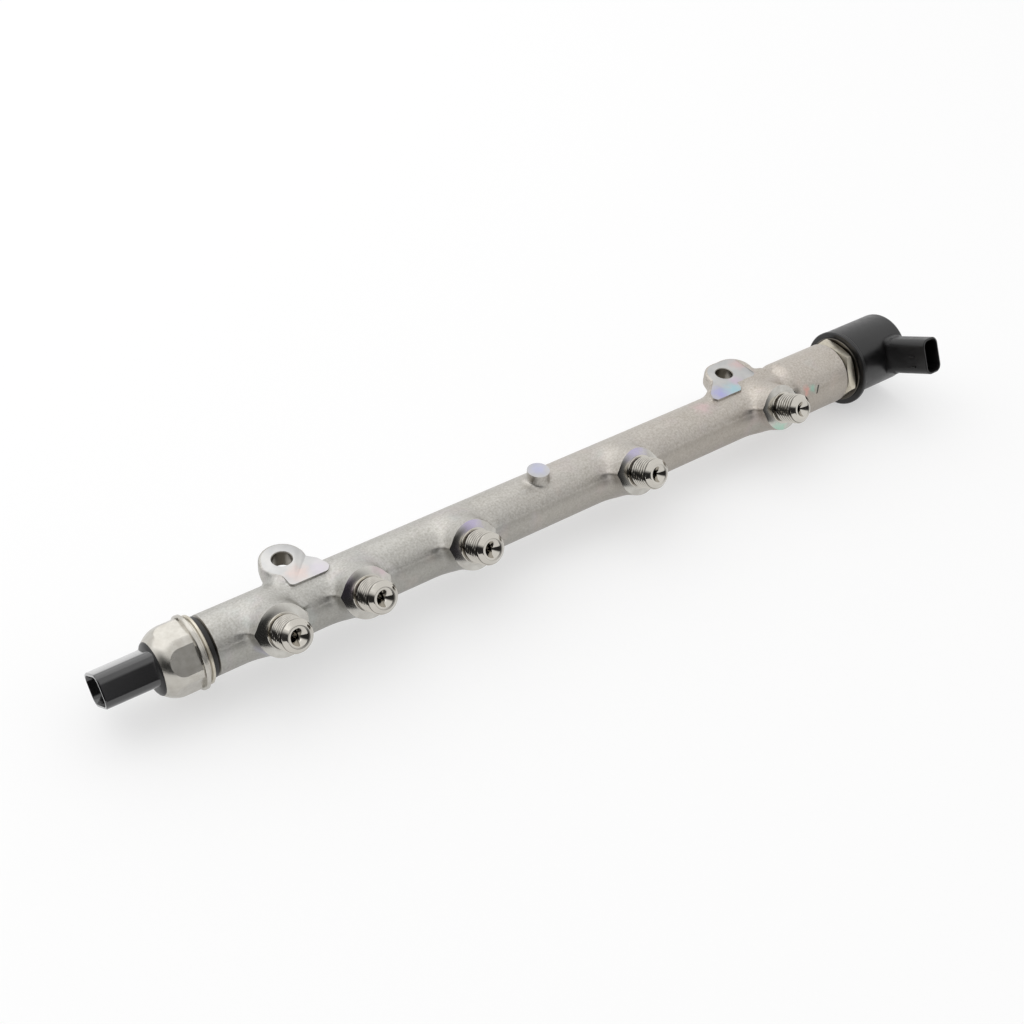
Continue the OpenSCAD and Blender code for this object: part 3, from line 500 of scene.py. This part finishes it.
def edge(tree, x, y, a, b):
    """Field of the side to the left of the line from a to b."""
    nx, ny = -(b[1] - a[1]), b[0] - a[0]
    size = math.hypot(nx, ny)
    nx, ny = nx / size, ny / size
    return add(tree, MATH, (dot2(tree, x, y, nx, ny), nx * a[0] + ny * a[1]), operation="SUBTRACT")


def convex(tree, x, y, corners):
    """Field of a convex outline whose corners go round anticlockwise."""
    sides = zip(corners, corners[1:] + corners[:1])
    return common(tree, *[edge(tree, x, y, a, b) for a, b in sides])


print("field helpers ready")

# %% The forging's field and its mesh
def forging_tree(voxel):
    tree = bpy.data.node_groups.new("Forging", "GeometryNodeTree")
    tree.interface.new_socket("Voxel size, mm", in_out="INPUT",
                              socket_type="NodeSocketFloat").default_value = voxel
    tree.interface.new_socket("Tube radius, mm", in_out="INPUT",
                              socket_type="NodeSocketFloat").default_value = 13.0
    tree.interface.new_socket("Boss blend, mm", in_out="INPUT",
                              socket_type="NodeSocketFloat").default_value = 7.5
    tree.interface.new_socket("Geometry", in_out="OUTPUT", socket_type="NodeSocketGeometry")
    given = tree.nodes.new("NodeGroupInput").outputs
    place = add(tree, "GeometryNodeInputPosition")
    in_mm = add(tree, VECTOR_MATH, {0: place, 1: (1000, 1000, 1000)}, operation="MULTIPLY")
    x, y, z = tube_point(tree, in_mm)

    # tube with the thicker head at its right end, and the faint step of the parting line
    angle = around(tree, y, z)
    head = add(tree, MAP_RANGE, {"Value": x, "From Min": 145.0, "From Max": 151.5, "To Max": 2.5},
               interpolation_type="SMOOTHSTEP")
    step = add(tree, MAP_RANGE, {"Value": angle, "From Min": 57.8, "From Max": 60.5,
                                 "To Max": 0.18}, interpolation_type="SMOOTHSTEP")
    radius = add(tree, MATH, (add(tree, MATH, (given[1], head), operation="ADD"), step),
                 operation="SUBTRACT")
    tube = add(tree, MATH, (radius, length2(tree, y, z)), operation="SUBTRACT")

    # one boss, measured from the nearest stub
    far, along, across = by_stub(tree, x, y, z)
    draft = add(tree, MATH, (add(tree, MATH, (20.0, along), operation="SUBTRACT"), 0.07),
                operation="MULTIPLY")
    round_boss = add(tree, MATH, (add(tree, MATH, (10.9, length2(tree, far, across)),
                                      operation="SUBTRACT"), draft), operation="ADD")
    # the flash line pulls the boss out to a point on both sides
    point = convex(tree, far, across, [(-1.0, -3.0), (10.3, -3.0), (11.9, 2.6), (8.4, 6.8),
                                       (-1.0, 6.8)])
    boss = both(tree, round_boss, point, 0.8)
    boss = common(tree, boss, slab(tree, along, 5.5, 24.0))
    body = both(tree, tube, boss, given[2])

    # left lug: ear, pad and the mound between them
    lx = add(tree, MATH, (x, LUG_X), operation="ADD")
    ly = add(tree, MATH, (y, LUG_Y), operation="SUBTRACT")
    ear = soft_common(tree, disc(tree, lx, ly, 0, 0.2, 9.6), slab(tree, z, LUG_UNDER, 14.5), 2.4)
    web = convex(tree, lx, ly, [(-9.4, -3.0), (-8.0, -11.0), (10.0, -11.0), (9.4, -3.0), (9.4, 0.0),
                                (-9.4, 0.0)])
    web = soft_common(tree, web, slab(tree, z, LUG_UNDER, 13.6), 4.0)
    pad = convex(tree, lx, ly, [(-4.6, -14.6), (-3.4, -15.7), (12.2, -15.7), (14.1, -13.6),
                                (14.1, -11.6), (12.3, -7.1), (9.6, -4.2), (4.0, 0.0), (-3.0, 0.0),
                                (-4.6, -6.0)])
    pad = common(tree, pad, slab(tree, z, 4.0, 17.0))
    body = both(tree, body, both(tree, ear, web, 3.0), 4.0)
    body = both(tree, body, pad, 0.9)

    # right lug: a longer ear that flows into the thicker head
    rx = add(tree, MATH, (x, LUG_X), operation="SUBTRACT")
    ear = both(tree, disc(tree, rx, ly, 0, 0, 9.5), disc(tree, rx, ly, 7.3, 0, 9.5), 0.5)
    ear = both(tree, ear, convex(tree, rx, ly, [(0.0, 0.0), (7.3, 0.0), (7.3, 9.5), (0.0, 9.5)]),
               0.5)
    flare = convex(tree, rx, ly, [(-2.0, -9.0), (23.6, -9.0), (23.6, -5.8), (19.9, -4.6),
                                  (16.6, -1.0), (7.0, 4.0)])
    ear = soft_common(tree, ear, slab(tree, z, LUG_UNDER, 14.5), 2.4)
    flare = soft_common(tree, flare, slab(tree, z, LUG_UNDER, 14.3), 4.0)
    ear = both(tree, ear, flare, 2.0)
    web = convex(tree, rx, ly, [(-9.4, 0.0), (-15.5, -5.0), (-17.0, -11.5), (9.0, -11.5),
                                (9.0, 0.0)])
    web = soft_common(tree, web, slab(tree, z, LUG_UNDER, 13.4), 4.0)
    pad = convex(tree, rx, ly, [(-18.9, -12.4), (-17.6, -14.6), (-2.6, -14.6), (-0.5, -12.6),
                                (-0.5, -8.6), (-9.0, -2.0), (-17.0, -8.8)])
    pad = common(tree, pad, slab(tree, z, 4.0, 17.0))
    body = both(tree, body, both(tree, ear, web, 3.0), 4.0)
    body = both(tree, body, pad, 0.9)

    # datum boss, and flat end faces
    knob = common(tree, disc(tree, x, y, DATUM_X, 0.0, DATUM_R), slab(tree, z, 0.0, 20.0))
    body = both(tree, body, knob, 3.0)
    body = common(tree, body, slab(tree, x, LEFT_END - 2, RIGHT_END + 2))

    low, high = at(LEFT_END - 1, -26, -17), at(RIGHT_END + 1, 25, 25)
    spans = [(b - a) * 1000 for a, b in zip(low, high)]
    counts = [add(tree, MATH, (span, given[0]), operation="DIVIDE") for span in spans]
    volume = add(tree, "GeometryNodeVolumeCube",
                 {"Density": body, "Background": -5.0, "Min": low, "Max": high,
                  "Resolution X": counts[0], "Resolution Y": counts[1], "Resolution Z": counts[2]})
    mesh = add(tree, "GeometryNodeVolumeToMesh", {"Volume": volume, "Threshold": 0.0,
                                                  "Adaptivity": 0.0})
    real = add(tree, "GeometryNodeRealizeInstances", {0: mesh})
    dressed = add(tree, "GeometryNodeSetMaterial", {0: real, "Material": forging.material})
    add(tree, "NodeGroupOutput", {0: dressed})
    return tree


def grown(name, tree):
    """Runs a Geometry Nodes tree and keeps its result as a plain mesh."""
    holder = bpy.data.objects.new(name, bpy.data.meshes.new(name))
    bpy.context.collection.objects.link(holder)
    holder.modifiers.new("grow", "NODES").node_group = tree
    graph = bpy.context.evaluated_depsgraph_get()
    mesh = bpy.data.meshes.new_from_object(holder.evaluated_get(graph), depsgraph=graph)
    holder.modifiers.clear()
    holder.data = mesh
    return holder


# a grid of 0.67 mm keeps the machined forging under 200,000 triangles
rail = grown("rail_forging", forging_tree(0.67))
print("forging skin:", len(rail.data.vertices), "vertices")

# %% [markdown]
# ## Machining the forging
#
# After forging, the collars, stub tips, lug faces, datum boss and both ends are cut. Here it
# is done in the same order: the cutters are turned outlines and flat-faced blocks, and the
# Boolean modifier takes their shape out of the skin, which leaves crisp machined edges.

# %% Cutters
SAME_POINT = 1e-7  # corners closer than this, in metres, are one


def turn_profile(profile, steps, wave):
    """Mesh data of an outline of (radius, height) turned about Z. wave changes the radius."""
    points, faces = [], []
    for r, h in profile:
        for i in range(steps):
            a = 2 * math.pi * i / steps
            rr = r + (wave(a, h) if wave else 0.0)
            points.append((rr * math.cos(a), rr * math.sin(a), h))
    for k in range(len(profile) - 1):
        for i in range(steps):
            j = (i + 1) % steps
            faces.append((k * steps + i, k * steps + j, (k + 1) * steps + j, (k + 1) * steps + i))
    return points, faces


def piece_of(name, made, finish):
    """Object from a bmesh whose faces are turned outwards first."""
    bmesh.ops.recalc_face_normals(made, faces=made.faces)
    mesh = bpy.data.meshes.new(name)
    made.to_mesh(mesh)
    made.free()
    mesh.materials.append(finish.material)
    piece = bpy.data.objects.new(name, mesh)
    bpy.context.collection.objects.link(piece)
    return piece


def finish_piece(piece, slot, sharp, *replaced):
    for poly in piece.data.polygons:
        poly.use_smooth = True
    piece.data.set_sharp_from_angle(angle=math.radians(sharp))
    if replaced:
        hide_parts(*replaced)
    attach(piece, "rail")
    print(piece.name, "faces:", len(piece.data.polygons))


def solid_of_turn(name, profile, matrix, finish, steps=128, wave=None):
    """Closed turned solid. The outline starts and ends on the axis."""
    points, faces = turn_profile(profile, steps, wave)
    turned_mesh = bpy.data.meshes.new(name)
    turned_mesh.from_pydata([matrix @ Vector(p) for p in points], [], faces)
    made = bmesh.new()
    made.from_mesh(turned_mesh)
    bpy.data.meshes.remove(turned_mesh)
    bmesh.ops.remove_doubles(made, verts=made.verts, dist=SAME_POINT)
    return piece_of(name, made, finish)


UPRIGHT = Matrix.Translation(at(0, 0, 0)) @ Matrix.Scale(MM, 4)


def loft(name, layers, matrix, finish):
    """Solid through outlines at rising heights; layers are (height, outline)."""
    made = bmesh.new()
    rings = []
    for z, outline in layers:
        rings.append([made.verts.new(matrix @ Vector((x, y, z))) for x, y in outline])
    made.faces.new(rings[0])
    made.faces.new(rings[-1])
    for lower, upper in zip(rings, rings[1:]):
        for i in range(len(lower)):
            j = (i + 1) % len(lower)
            made.faces.new((lower[i], lower[j], upper[j], upper[i]))
    return piece_of(name, made, finish)


def prism(name, outline, low, high, finish, matrix=UPRIGHT):
    """Prism over an outline in millimetres, upright from the tube's axis or in another frame."""
    return loft(name, [(low, outline), (high, outline)], matrix, finish)


def hexagon_cutters(half, width, low, high, turn, matrix, finish):
    """Six blocks that mill the flats of a hexagon, whose flats lie half from the axis."""
    blocks = []
    for k in range(6):
        a = math.radians(turn + 60 * k)
        out, side = Vector((math.cos(a), math.sin(a))), Vector((-math.sin(a), math.cos(a)))
        corners = [out * r + side * w for r, w in ((half, -width), (20, -width), (20, width),
                                                   (half, width))]
        blocks.append(prism("flat_cut", [tuple(c) for c in corners], low, high, finish, matrix))
    return blocks


def combine(piece, others, operation):
    """Boolean of a piece with others, one after another; the others are used up."""
    for other in others:
        tool = piece.modifiers.new("shop", "BOOLEAN")
        tool.operation, tool.object, tool.solver = operation, other, "MANIFOLD"
        tool.material_mode = "TRANSFER"
    graph = bpy.context.evaluated_depsgraph_get()
    mesh = bpy.data.meshes.new_from_object(piece.evaluated_get(graph), depsgraph=graph)
    piece.modifiers.clear()
    piece.data = mesh
    for other in others:
        bpy.data.objects.remove(other, do_unlink=True)


def cut(piece, cutters):
    combine(piece, cutters, "DIFFERENCE")


def join(piece, parts):
    combine(piece, parts, "UNION")


RING_R, COLLAR_TOP, SLOPE = 7.65, 21.56, math.tan(math.radians(20))
BOLT_R, DATUM_TOP = 4.25, 17.6
COLLAR = [(0, 2.0), (1.5, 2.0), (1.5, COLLAR_TOP), (RING_R, COLLAR_TOP),
          (16.0, COLLAR_TOP - (16.0 - RING_R) * SLOPE), (16.0, 40.0), (0, 40.0)]
ALONG_X = facing_x(0, 90)
# both end faces with their chamfers, the two threaded ends, the valve bore and the long bore
ENDS = [(0, -200), (30, -200), (30, LEFT_END + 1.0), (13.4, LEFT_END + 1.0), (12.2, LEFT_END),
        (10.0, LEFT_END), (9.1, LEFT_END + 0.8), (9.1, LEFT_END + 13.5), (7.8, LEFT_END + 14.1),
        (7.8, LEFT_END + 16.5), (5.0, LEFT_END + 16.5), (5.0, RIGHT_END - 34.3),
        (8.8, RIGHT_END - 34.3), (8.8, RIGHT_END - 16.3), (12.1, RIGHT_END - 15.5),
        (12.1, RIGHT_END - 0.8), (13.0, RIGHT_END), (14.7, RIGHT_END), (15.9, RIGHT_END - 1.0),
        (30, RIGHT_END - 1.0), (30, 220), (0, 220)]


def machine(piece):
    """All the cuts of the machine shop, in its order."""
    cutters = [solid_of_turn("ends_cut", ENDS, ALONG_X, bare)]
    cutters += [solid_of_turn("collar_cut", COLLAR, stub_frame(x), collar) for x in STUBS]
    # each mill pass covers the lug and its pad, and stays clear of the bosses beside them
    for sign, (pad_left, pad_right), right in ((-1, (-5.2, 14.8), 30), (1, (-19.6, 0.2), 13)):
        path = ((-30, -9.2), (pad_left, -9.2), (pad_left, -17), (pad_right, -17), (pad_right, -9.2),
                (right, -9.2), (right, 16), (-30, 16))
        outline = [(sign * LUG_X + a, LUG_Y + b) for a, b in path]
        cutters.append(prism("lug_milling", outline, LUG_TOP, 40, milled))
        bolt = Matrix.Translation(at(sign * LUG_X, LUG_Y, 0)) @ Matrix.Scale(MM, 4)
        hole = [(0, -30), (BOLT_R, -30), (BOLT_R, LUG_TOP - 0.3), (BOLT_R + 0.35, LUG_TOP + 0.05),
                (BOLT_R + 0.35, 30), (0, 30)]
        cutters.append(solid_of_turn("bolt_hole", hole, bolt, bare, 64))
    cutters.append(prism("datum_milling", [(-12, -9), (7, -9), (7, 9), (-12, 9)], DATUM_TOP, 40,
                         milled))
    cut(piece, cutters)


machine(rail)
print("machined forging:", len(rail.data.polygons), "faces,", len(rail.data.materials), "finishes")
finish_piece(rail, "plated_steel", 32, "rail_body")

# %% [markdown]
# ## Threaded pipe stubs
#
# Each stub is turned on a lathe: a narrow shoulder ring, a relief groove, an M14 x 1.5 thread
# and a chamfered tip with a 60 degree cone for the pipe's sealing end. One stub is enough. A
# small Geometry Nodes tree sets four copies at an even pitch, and one more for the inlet.

# %% One turned stub with its thread
PITCH, CREST, DEPTH = 1.5, 7.0, 0.95
THREAD_FOOT = 23.36


def stub_envelope(s):
    """Radius of the turned blank, without the thread, at a distance s from the tube's axis."""
    if s < 22.46:
        return 6.0
    if s < THREAD_FOOT:
        return 6.0 + (s - 22.46) * 1.1
    return min(CREST, 5.06 + (34.3 - s))


def thread_wave(angle, s):
    """How far the thread's groove goes below the blank."""
    if not 22.5 < s < 34.29:
        return 0.0
    phase = ((s - THREAD_FOOT) / PITCH - angle / (2 * math.pi)) % 1.0
    flank = min(max((abs(2 * phase - 1) - 0.1) / 0.8, 0.0), 1.0)
    return min(CREST - DEPTH * (1 - flank) - stub_envelope(s), 0.0)


rows = 76
outline = [(1.5, 18.0), (7.2, 18.0), (7.62, 19.5), (RING_R, 21.0), (RING_R, 21.96),
           (RING_R - 0.2, 22.16), (6.1, 22.3), (6.0, 22.46)]
heights = [22.6 + (34.25 - 22.6) * k / rows for k in range(rows + 1)]
outline += [(stub_envelope(s), s) for s in heights]
outline += [(5.0, 34.36), (4.75, 34.5), (3.9, 34.5), (3.6, 34.36), (2.0, 31.6), (2.0, 24.0),
            (1.5, 23.5), (1.5, 18.0)]
stub = solid_of_turn("stub_blank", outline, Matrix.Scale(MM, 4), turned, 64,
                     thread_wave)
print("one stub:", len(stub.data.polygons), "faces")


# %% Five copies by Geometry Nodes
def stubs_tree(pattern):
    tree = bpy.data.node_groups.new("Stub row", "GeometryNodeTree")
    for label, value in (("First stub", STUBS[0] * MM), ("Stub pitch", STUB_PITCH * MM),
                         ("Inlet stub", STUBS[1] * MM), ("Tilt", math.pi / 2 - TILT)):
        socket = tree.interface.new_socket(label, in_out="INPUT", socket_type="NodeSocketFloat")
        socket.default_value = value
    tree.interface.new_socket("Geometry", in_out="OUTPUT", socket_type="NodeSocketGeometry")
    given = tree.nodes.new("NodeGroupInput").outputs
    base = AXIS * MM
    first = add(tree, "ShaderNodeCombineXYZ", {0: given[0], 1: base.y, 2: base.z})
    step = add(tree, "ShaderNodeCombineXYZ", {0: given[1]})
    inlet = add(tree, "ShaderNodeCombineXYZ", {0: given[2], 1: base.y, 2: base.z})
    row = add(tree, "GeometryNodeMeshLine", {"Count": 4, "Start Location": first, "Offset": step})
    one = add(tree, "GeometryNodeMeshLine", {"Count": 1, "Start Location": inlet})
    places = add(tree, "GeometryNodeJoinGeometry")
    for line in (row, one):
        wire(tree, line, places.inputs[0])
    turn = add(tree, "ShaderNodeCombineXYZ", {0: given[3]})
    shape = add(tree, "GeometryNodeObjectInfo", {"Object": pattern})
    copies = add(tree, "GeometryNodeInstanceOnPoints",
                 {"Points": places, "Instance": shape.outputs[-1], "Rotation": turn})
    real = add(tree, "GeometryNodeRealizeInstances", {0: copies})
    dressed = add(tree, "GeometryNodeSetMaterial", {0: real, "Material": turned.material})
    add(tree, "NodeGroupOutput", {0: dressed})
    return tree


threads = grown("pipe_stubs", stubs_tree(stub))
bpy.data.objects.remove(stub, do_unlink=True)
finish_piece(threads, "plated_steel", 28)

# %% [markdown]
# ## Sensor shell
#
# The sensor's body is turned from stainless bar: a threaded foot, a thin flange, a hexagon for
# the spanner and a nose that curves in to the rim that is crimped over the plastic. The lathe
# makes the round form first, and the six flats are then milled off it. Cutting them in that
# order gives each flat its curved end on the nose.

# %% The shell and its six flats
FLATS_HALF, SHELL_TURN = 13.55, 8
NOSE_START, NOSE_LENGTH, NOSE_DROP, NOSE_R = 13.6, 8.2, 3.45, 14.7
NOSE_ARC = (NOSE_DROP ** 2 + NOSE_LENGTH ** 2) / (2 * NOSE_DROP)
OUTWARD = facing_x(LEFT_END, -90)
nose = [(NOSE_R - NOSE_ARC + math.sqrt(NOSE_ARC ** 2 - (8.0 * k / 16) ** 2),
         NOSE_START + 8.0 * k / 16) for k in range(17)]
shell_outline = [(1.8, -15.7), (5.7, -15.7), (5.7, -16.5), (6.3, -16.5), (7.0, -15.7), (7.0, -13.7),
                 (7.4, -13.1), (7.4, -11.9), (9.0, -10.5), (9.0, -1.5), (7.9, -0.8), (7.9, 0.2),
                 (9.1, 0.4), (9.1, 4.0), (13.75, 4.0), (13.75, 5.2), (15.45, 5.2), (15.7, 5.4),
                 (15.7, 6.6), (15.45, 6.9), (14.1, 6.95), (14.1, 7.35), (14.7, 7.4), *nose,
                 (11.2, 21.72), (10.95, 21.79), (10.2, 21.79), (10.2, 9.1), (1.8, 9.1),
                 (1.8, -15.7)]
shell = solid_of_turn("sensor_shell", shell_outline, OUTWARD, stainless)
cut(shell, hexagon_cutters(FLATS_HALF, 9, 7.0, 26.0, SHELL_TURN, OUTWARD, stainless))
finish_piece(shell, "stainless_steel", 11, "sensor_body")

# %% [markdown]
# ## Sensor connector
#
# The connector is moulded in one go in black polyester: a shallow dome that the shell's rim is
# crimped over, and a rounded socket for a three-way plug. A mould needs draft and soft corners,
# so the socket is lofted through rounded rectangles that shrink a little toward the mouth.

# %% The connector, through rounded outlines
def rounded(a, b, r, n=8):
    """Rounded rectangle of half sizes a and b with corner radius r, anticlockwise."""
    points = []
    for sx, sy, start in ((1, 1, 0), (-1, 1, 90), (-1, -1, 180), (1, -1, 270)):
        for k in range(n + 1):
            turn = math.radians(start + 90 * k / n)
            points.append((sx * (a - r) + r * math.cos(turn), sy * (b - r) + r * math.sin(turn)))
    return points


SOCKET = OUTWARD @ Matrix.Rotation(math.radians(38), 4, "Z") @ Matrix.Translation((1.0, 0, 0))
dome_outline = [(0, 17.5), (10.1, 17.5), (10.1, 18.3), (8.4, 18.3), (8.4, 20.1), (10.1, 20.1),
                (10.1, 21.8), (11.15, 21.82), (11.15, 22.0), (10.8, 22.5), (10.0, 23.0),
                (9.0, 23.4), (7.0, 23.7), (0, 23.8)]
sensor_plug = solid_of_turn("sensor_connector", dome_outline, OUTWARD, nylon, 96)
walls = loft("socket_walls", [(20.5, rounded(7.3, 9.6, 4.4)), (23.4, rounded(7.3, 9.7, 4.4)),
                              (24.3, rounded(7.2, 9.6, 4.4)), (44.3, rounded(7.1, 9.5, 4.4)),
                              (44.8, rounded(6.8, 9.15, 4.1))], SOCKET, polished)
room = loft("socket_room", [(31.3, rounded(5.8, 8.2, 3.2)), (44.4, rounded(5.9, 8.35, 3.3)),
                            (45.0, rounded(6.2, 8.65, 3.6)), (47.0, rounded(6.2, 8.65, 3.6))],
            SOCKET, polished)
join(sensor_plug, [walls])
cut(sensor_plug, [room])
finish_piece(sensor_plug, "black_plastic", 30, "sensor_housing")

# %% [markdown]
# ## Union nut
#
# The nut pulls the valve into the head of the rail. It is turned, chamfered on both faces at
# 30 degrees, and its six flats are milled, which leaves a curved edge on each flat.

# %% The nut
NUT_HALF, NUT_TURN = 14.5, 3
INWARD = facing_x(RIGHT_END, 90)
nut_outline = [(9.25, -12.5), (11.2, -12.5), (12.0, -11.7), (12.0, -1.2), (11.1, -0.4), (11.1, 0.9),
               (14.4, 0.9), (16.9, 2.3), (16.9, 4.5), (14.4, 5.9), (9.25, 5.9), (9.25, -12.5)]
nut = solid_of_turn("union_nut", nut_outline, INWARD, nut_steel)
cut(nut, hexagon_cutters(NUT_HALF, 11, 0.5, 9.0, NUT_TURN, INWARD, nut_steel))
finish_piece(nut, "bright_steel", 14, "valve_union_nut")

# %% [markdown]
# ## Valve cap
#
# The solenoid is overmoulded in black nylon: a flange that closes on the pole plate, a barrel
# set a little off the valve's axis, and a two-way socket that leaves it in the direction of
# the stubs. Two small lugs on the socket's side hold the plug's latch.

# %% The cap and its socket
LEAN = math.radians(132)
BARREL = INWARD @ Matrix.Translation((1.5 * math.cos(LEAN), 1.5 * math.sin(LEAN), 0))
PLUG = (INWARD @ Matrix.Rotation(math.radians(241), 4, "Z") @ Matrix.Translation((0, 0, 33.4))
        @ Matrix.Rotation(math.pi / 2, 4, "Y"))
flange = [(0, 7.5), (18.7, 7.5), (19.2, 8.0), (19.2, 9.3), (18.9, 9.8), (18.2, 10.15), (0, 10.15)]
cap = solid_of_turn("valve_cap", flange, INWARD, nylon)
edge_round = [(17.5 - 1.9 + 1.9 * math.cos(a), 41.0 + 1.9 * math.sin(a))
              for a in (math.radians(90 * k / 8) for k in range(9))]
barrel = solid_of_turn("cap_barrel", [(0, 8.4), (17.5, 8.4), *edge_round, (0, 42.9)], BARREL, nylon)
socket = loft("cap_socket", [(10.0, rounded(6.2, 9.9, 4.2)), (18.6, rounded(6.0, 9.7, 4.1)),
                             (19.6, rounded(5.45, 9.1, 3.7)), (40.6, rounded(5.35, 9.0, 3.6)),
                             (41.0, rounded(5.0, 8.65, 3.3))], PLUG, nylon)
latch = []
for y in (-1.2, 4.2):
    foot, tip = ([(5.2, y), (x, y), (x, y + 0.8), (5.2, y + 0.8)] for x in (6.1, 5.9))
    latch.append(loft("latch_lug", [(31.5, foot), (34.3, tip)], PLUG, nylon))
join(cap, [barrel, socket, *latch])
pocket = solid_of_turn("coil_pocket", [(0, 6.0), (16.45, 6.0), (16.45, 9.0), (14.55, 9.0),
                                       (14.55, 30.35), (7.7, 30.35), (7.7, 33.35), (0, 33.35)],
                       INWARD, nylon, 96)
mouth = loft("cap_mouth", [(28.0, rounded(4.2, 7.85, 2.7)), (40.4, rounded(4.3, 7.95, 2.8)),
                           (41.3, rounded(4.6, 8.25, 3.0)), (43.0, rounded(4.6, 8.25, 3.0))], PLUG,
             nylon)
cut(cap, [pocket, mouth])
finish_piece(cap, "black_plastic", 30, "valve_housing")

# %% [markdown]
# ## Spring behind the armature
#
# The armature runs 0.4 mm into the spring. A steel spring gets shorter by the same 0.4 mm and
# stays where it is at the sleeve's closed end. A copy of the solid takes the spring's place.

# %% A copy of the spring
coil_mesh = frame["nodes"]["valve_spring"].data.copy()
made = bmesh.new()
made.from_mesh(coil_mesh)
bmesh.ops.remove_doubles(made, verts=made.verts, dist=SAME_POINT)
made.to_mesh(coil_mesh)
made.free()
coil_mesh.materials.clear()
coil_mesh.materials.append(FINISH_OF[SLOT_OF["valve_spring"]].material)
coil = bpy.data.objects.new("spring_coil", coil_mesh)
bpy.context.collection.objects.link(coil)
finish_piece(coil, SLOT_OF["valve_spring"], 40, "valve_spring")
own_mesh(coil)

# %% [markdown]
# ## Light, floor and camera
#
# A plain white sweep with one broad lamp above and behind gives the soft catalogue light. The
# world is white, apart from a band that is nearly black, low down in front and to the left. It
# stands for the dark side of a studio: bright metal that faces it turns grey, as in the photo.
# Where the camera looks straight at the world, it is white all round.

# %% Floor, light and world
low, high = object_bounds()
floor_mesh = bpy.data.meshes.new("floor")
floor_mesh.from_pydata([(x, y, low.z - 0.0006) for x, y in ((-4, -4), (4, -4), (4, 4), (-4, 4))],
                       [], [(0, 1, 2, 3)])
floor = bpy.data.objects.new("floor", floor_mesh)
bpy.context.collection.objects.link(floor)
sweep = bpy.data.materials.new("white_studio_sweep")
sweep.use_nodes = True
t = sweep.node_tree
t.nodes["Principled BSDF"].inputs["Base Color"].default_value = paint("#FBFBFB")
t.nodes["Principled BSDF"].inputs["Roughness"].default_value = 0.9
seen = add(t, "ShaderNodeLightPath").outputs
seen = add(t, MATH, (add(t, MATH, (seen["Is Camera Ray"], seen["Is Glossy Ray"]),
                         operation="MAXIMUM"), seen["Is Transmission Ray"]), operation="MAXIMUM")
glow = add(t, "ShaderNodeEmission", {"Color": (1, 1, 1, 1), "Strength": 1.0})
blend = add(t, "ShaderNodeMixShader", {0: add(t, MATH, (seen, 0.5), operation="MULTIPLY"),
                                       1: t.nodes["Principled BSDF"], 2: glow})
wire(t, blend, t.nodes["Material Output"].inputs[0])
floor_mesh.materials.append(sweep)
floor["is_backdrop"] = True

world = bpy.data.worlds.new("studio")
bpy.context.scene.world = world
world.use_nodes = True
t = world.node_tree
direction = add(t, "ShaderNodeTexCoord").outputs["Generated"]
side = add(t, "ShaderNodeSeparateXYZ", {0: direction}).outputs
toward_left = add(t, MATH, (add(t, MATH, (side[0], -0.6), operation="MULTIPLY"),
                            add(t, MATH, (side[1], -0.8), operation="MULTIPLY")), operation="ADD")
level = add(t, MATH, (toward_left, length2(t, side[0], side[1])), operation="DIVIDE")
ahead = add(t, MAP_RANGE, {"Value": level, "From Min": 0.2, "From Max": 0.85},
            interpolation_type="SMOOTHSTEP")
low_down = add(t, MAP_RANGE, {"Value": side[2], "From Min": 0.82, "From Max": 0.55},
               interpolation_type="SMOOTHSTEP")
dark = add(t, MATH, (add(t, MATH, (ahead, low_down), operation="MULTIPLY"), 0.97),
           operation="MULTIPLY")
gray = add(t, MATH, (1.0, dark), operation="SUBTRACT")
gray = add(t, MATH, (gray, add(t, "ShaderNodeLightPath").outputs["Is Camera Ray"]),
           operation="MAXIMUM")
wire(t, gray, t.nodes["Background"].inputs["Strength"])
t.nodes["Background"].inputs["Color"].default_value = (1, 1, 1, 1)


def lamp(name, place, target, size, power):
    data = bpy.data.lights.new(name, "AREA")
    data.shape, data.size, data.size_y, data.energy = "RECTANGLE", size[0], size[1], power
    obj = bpy.data.objects.new(name, data)
    obj.location = place
    obj.rotation_euler = (Vector(target) - Vector(place)).to_track_quat("-Z", "Y").to_euler()
    bpy.context.collection.objects.link(obj)
    return obj


lamp("broad_lamp_behind", (-0.35, 0.9, 1.3), (0, 0, 0), (2.4, 1.8), 8)
print("stage ready, floor at", round(low.z, 4))

# %% Camera
camera = bpy.data.objects.new("camera", bpy.data.cameras.new("camera"))
bpy.context.collection.objects.link(camera)
camera.location = (-0.31924504, -0.37611977, 0.39856070)
camera.rotation_euler = [math.radians(a) for a in (49.22856487, -3.67257622, -36.78619129)]
camera.data.lens, camera.data.sensor_width = 49.5516, 36
camera.data.clip_start, camera.data.clip_end = 0.01, 20
scene = bpy.context.scene
scene.camera = camera
scene.view_settings.view_transform = "Standard"

# %% Print the scene's size
low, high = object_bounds()
print("scene box:", [round(v, 4) for v in low], [round(v, 4) for v in high])
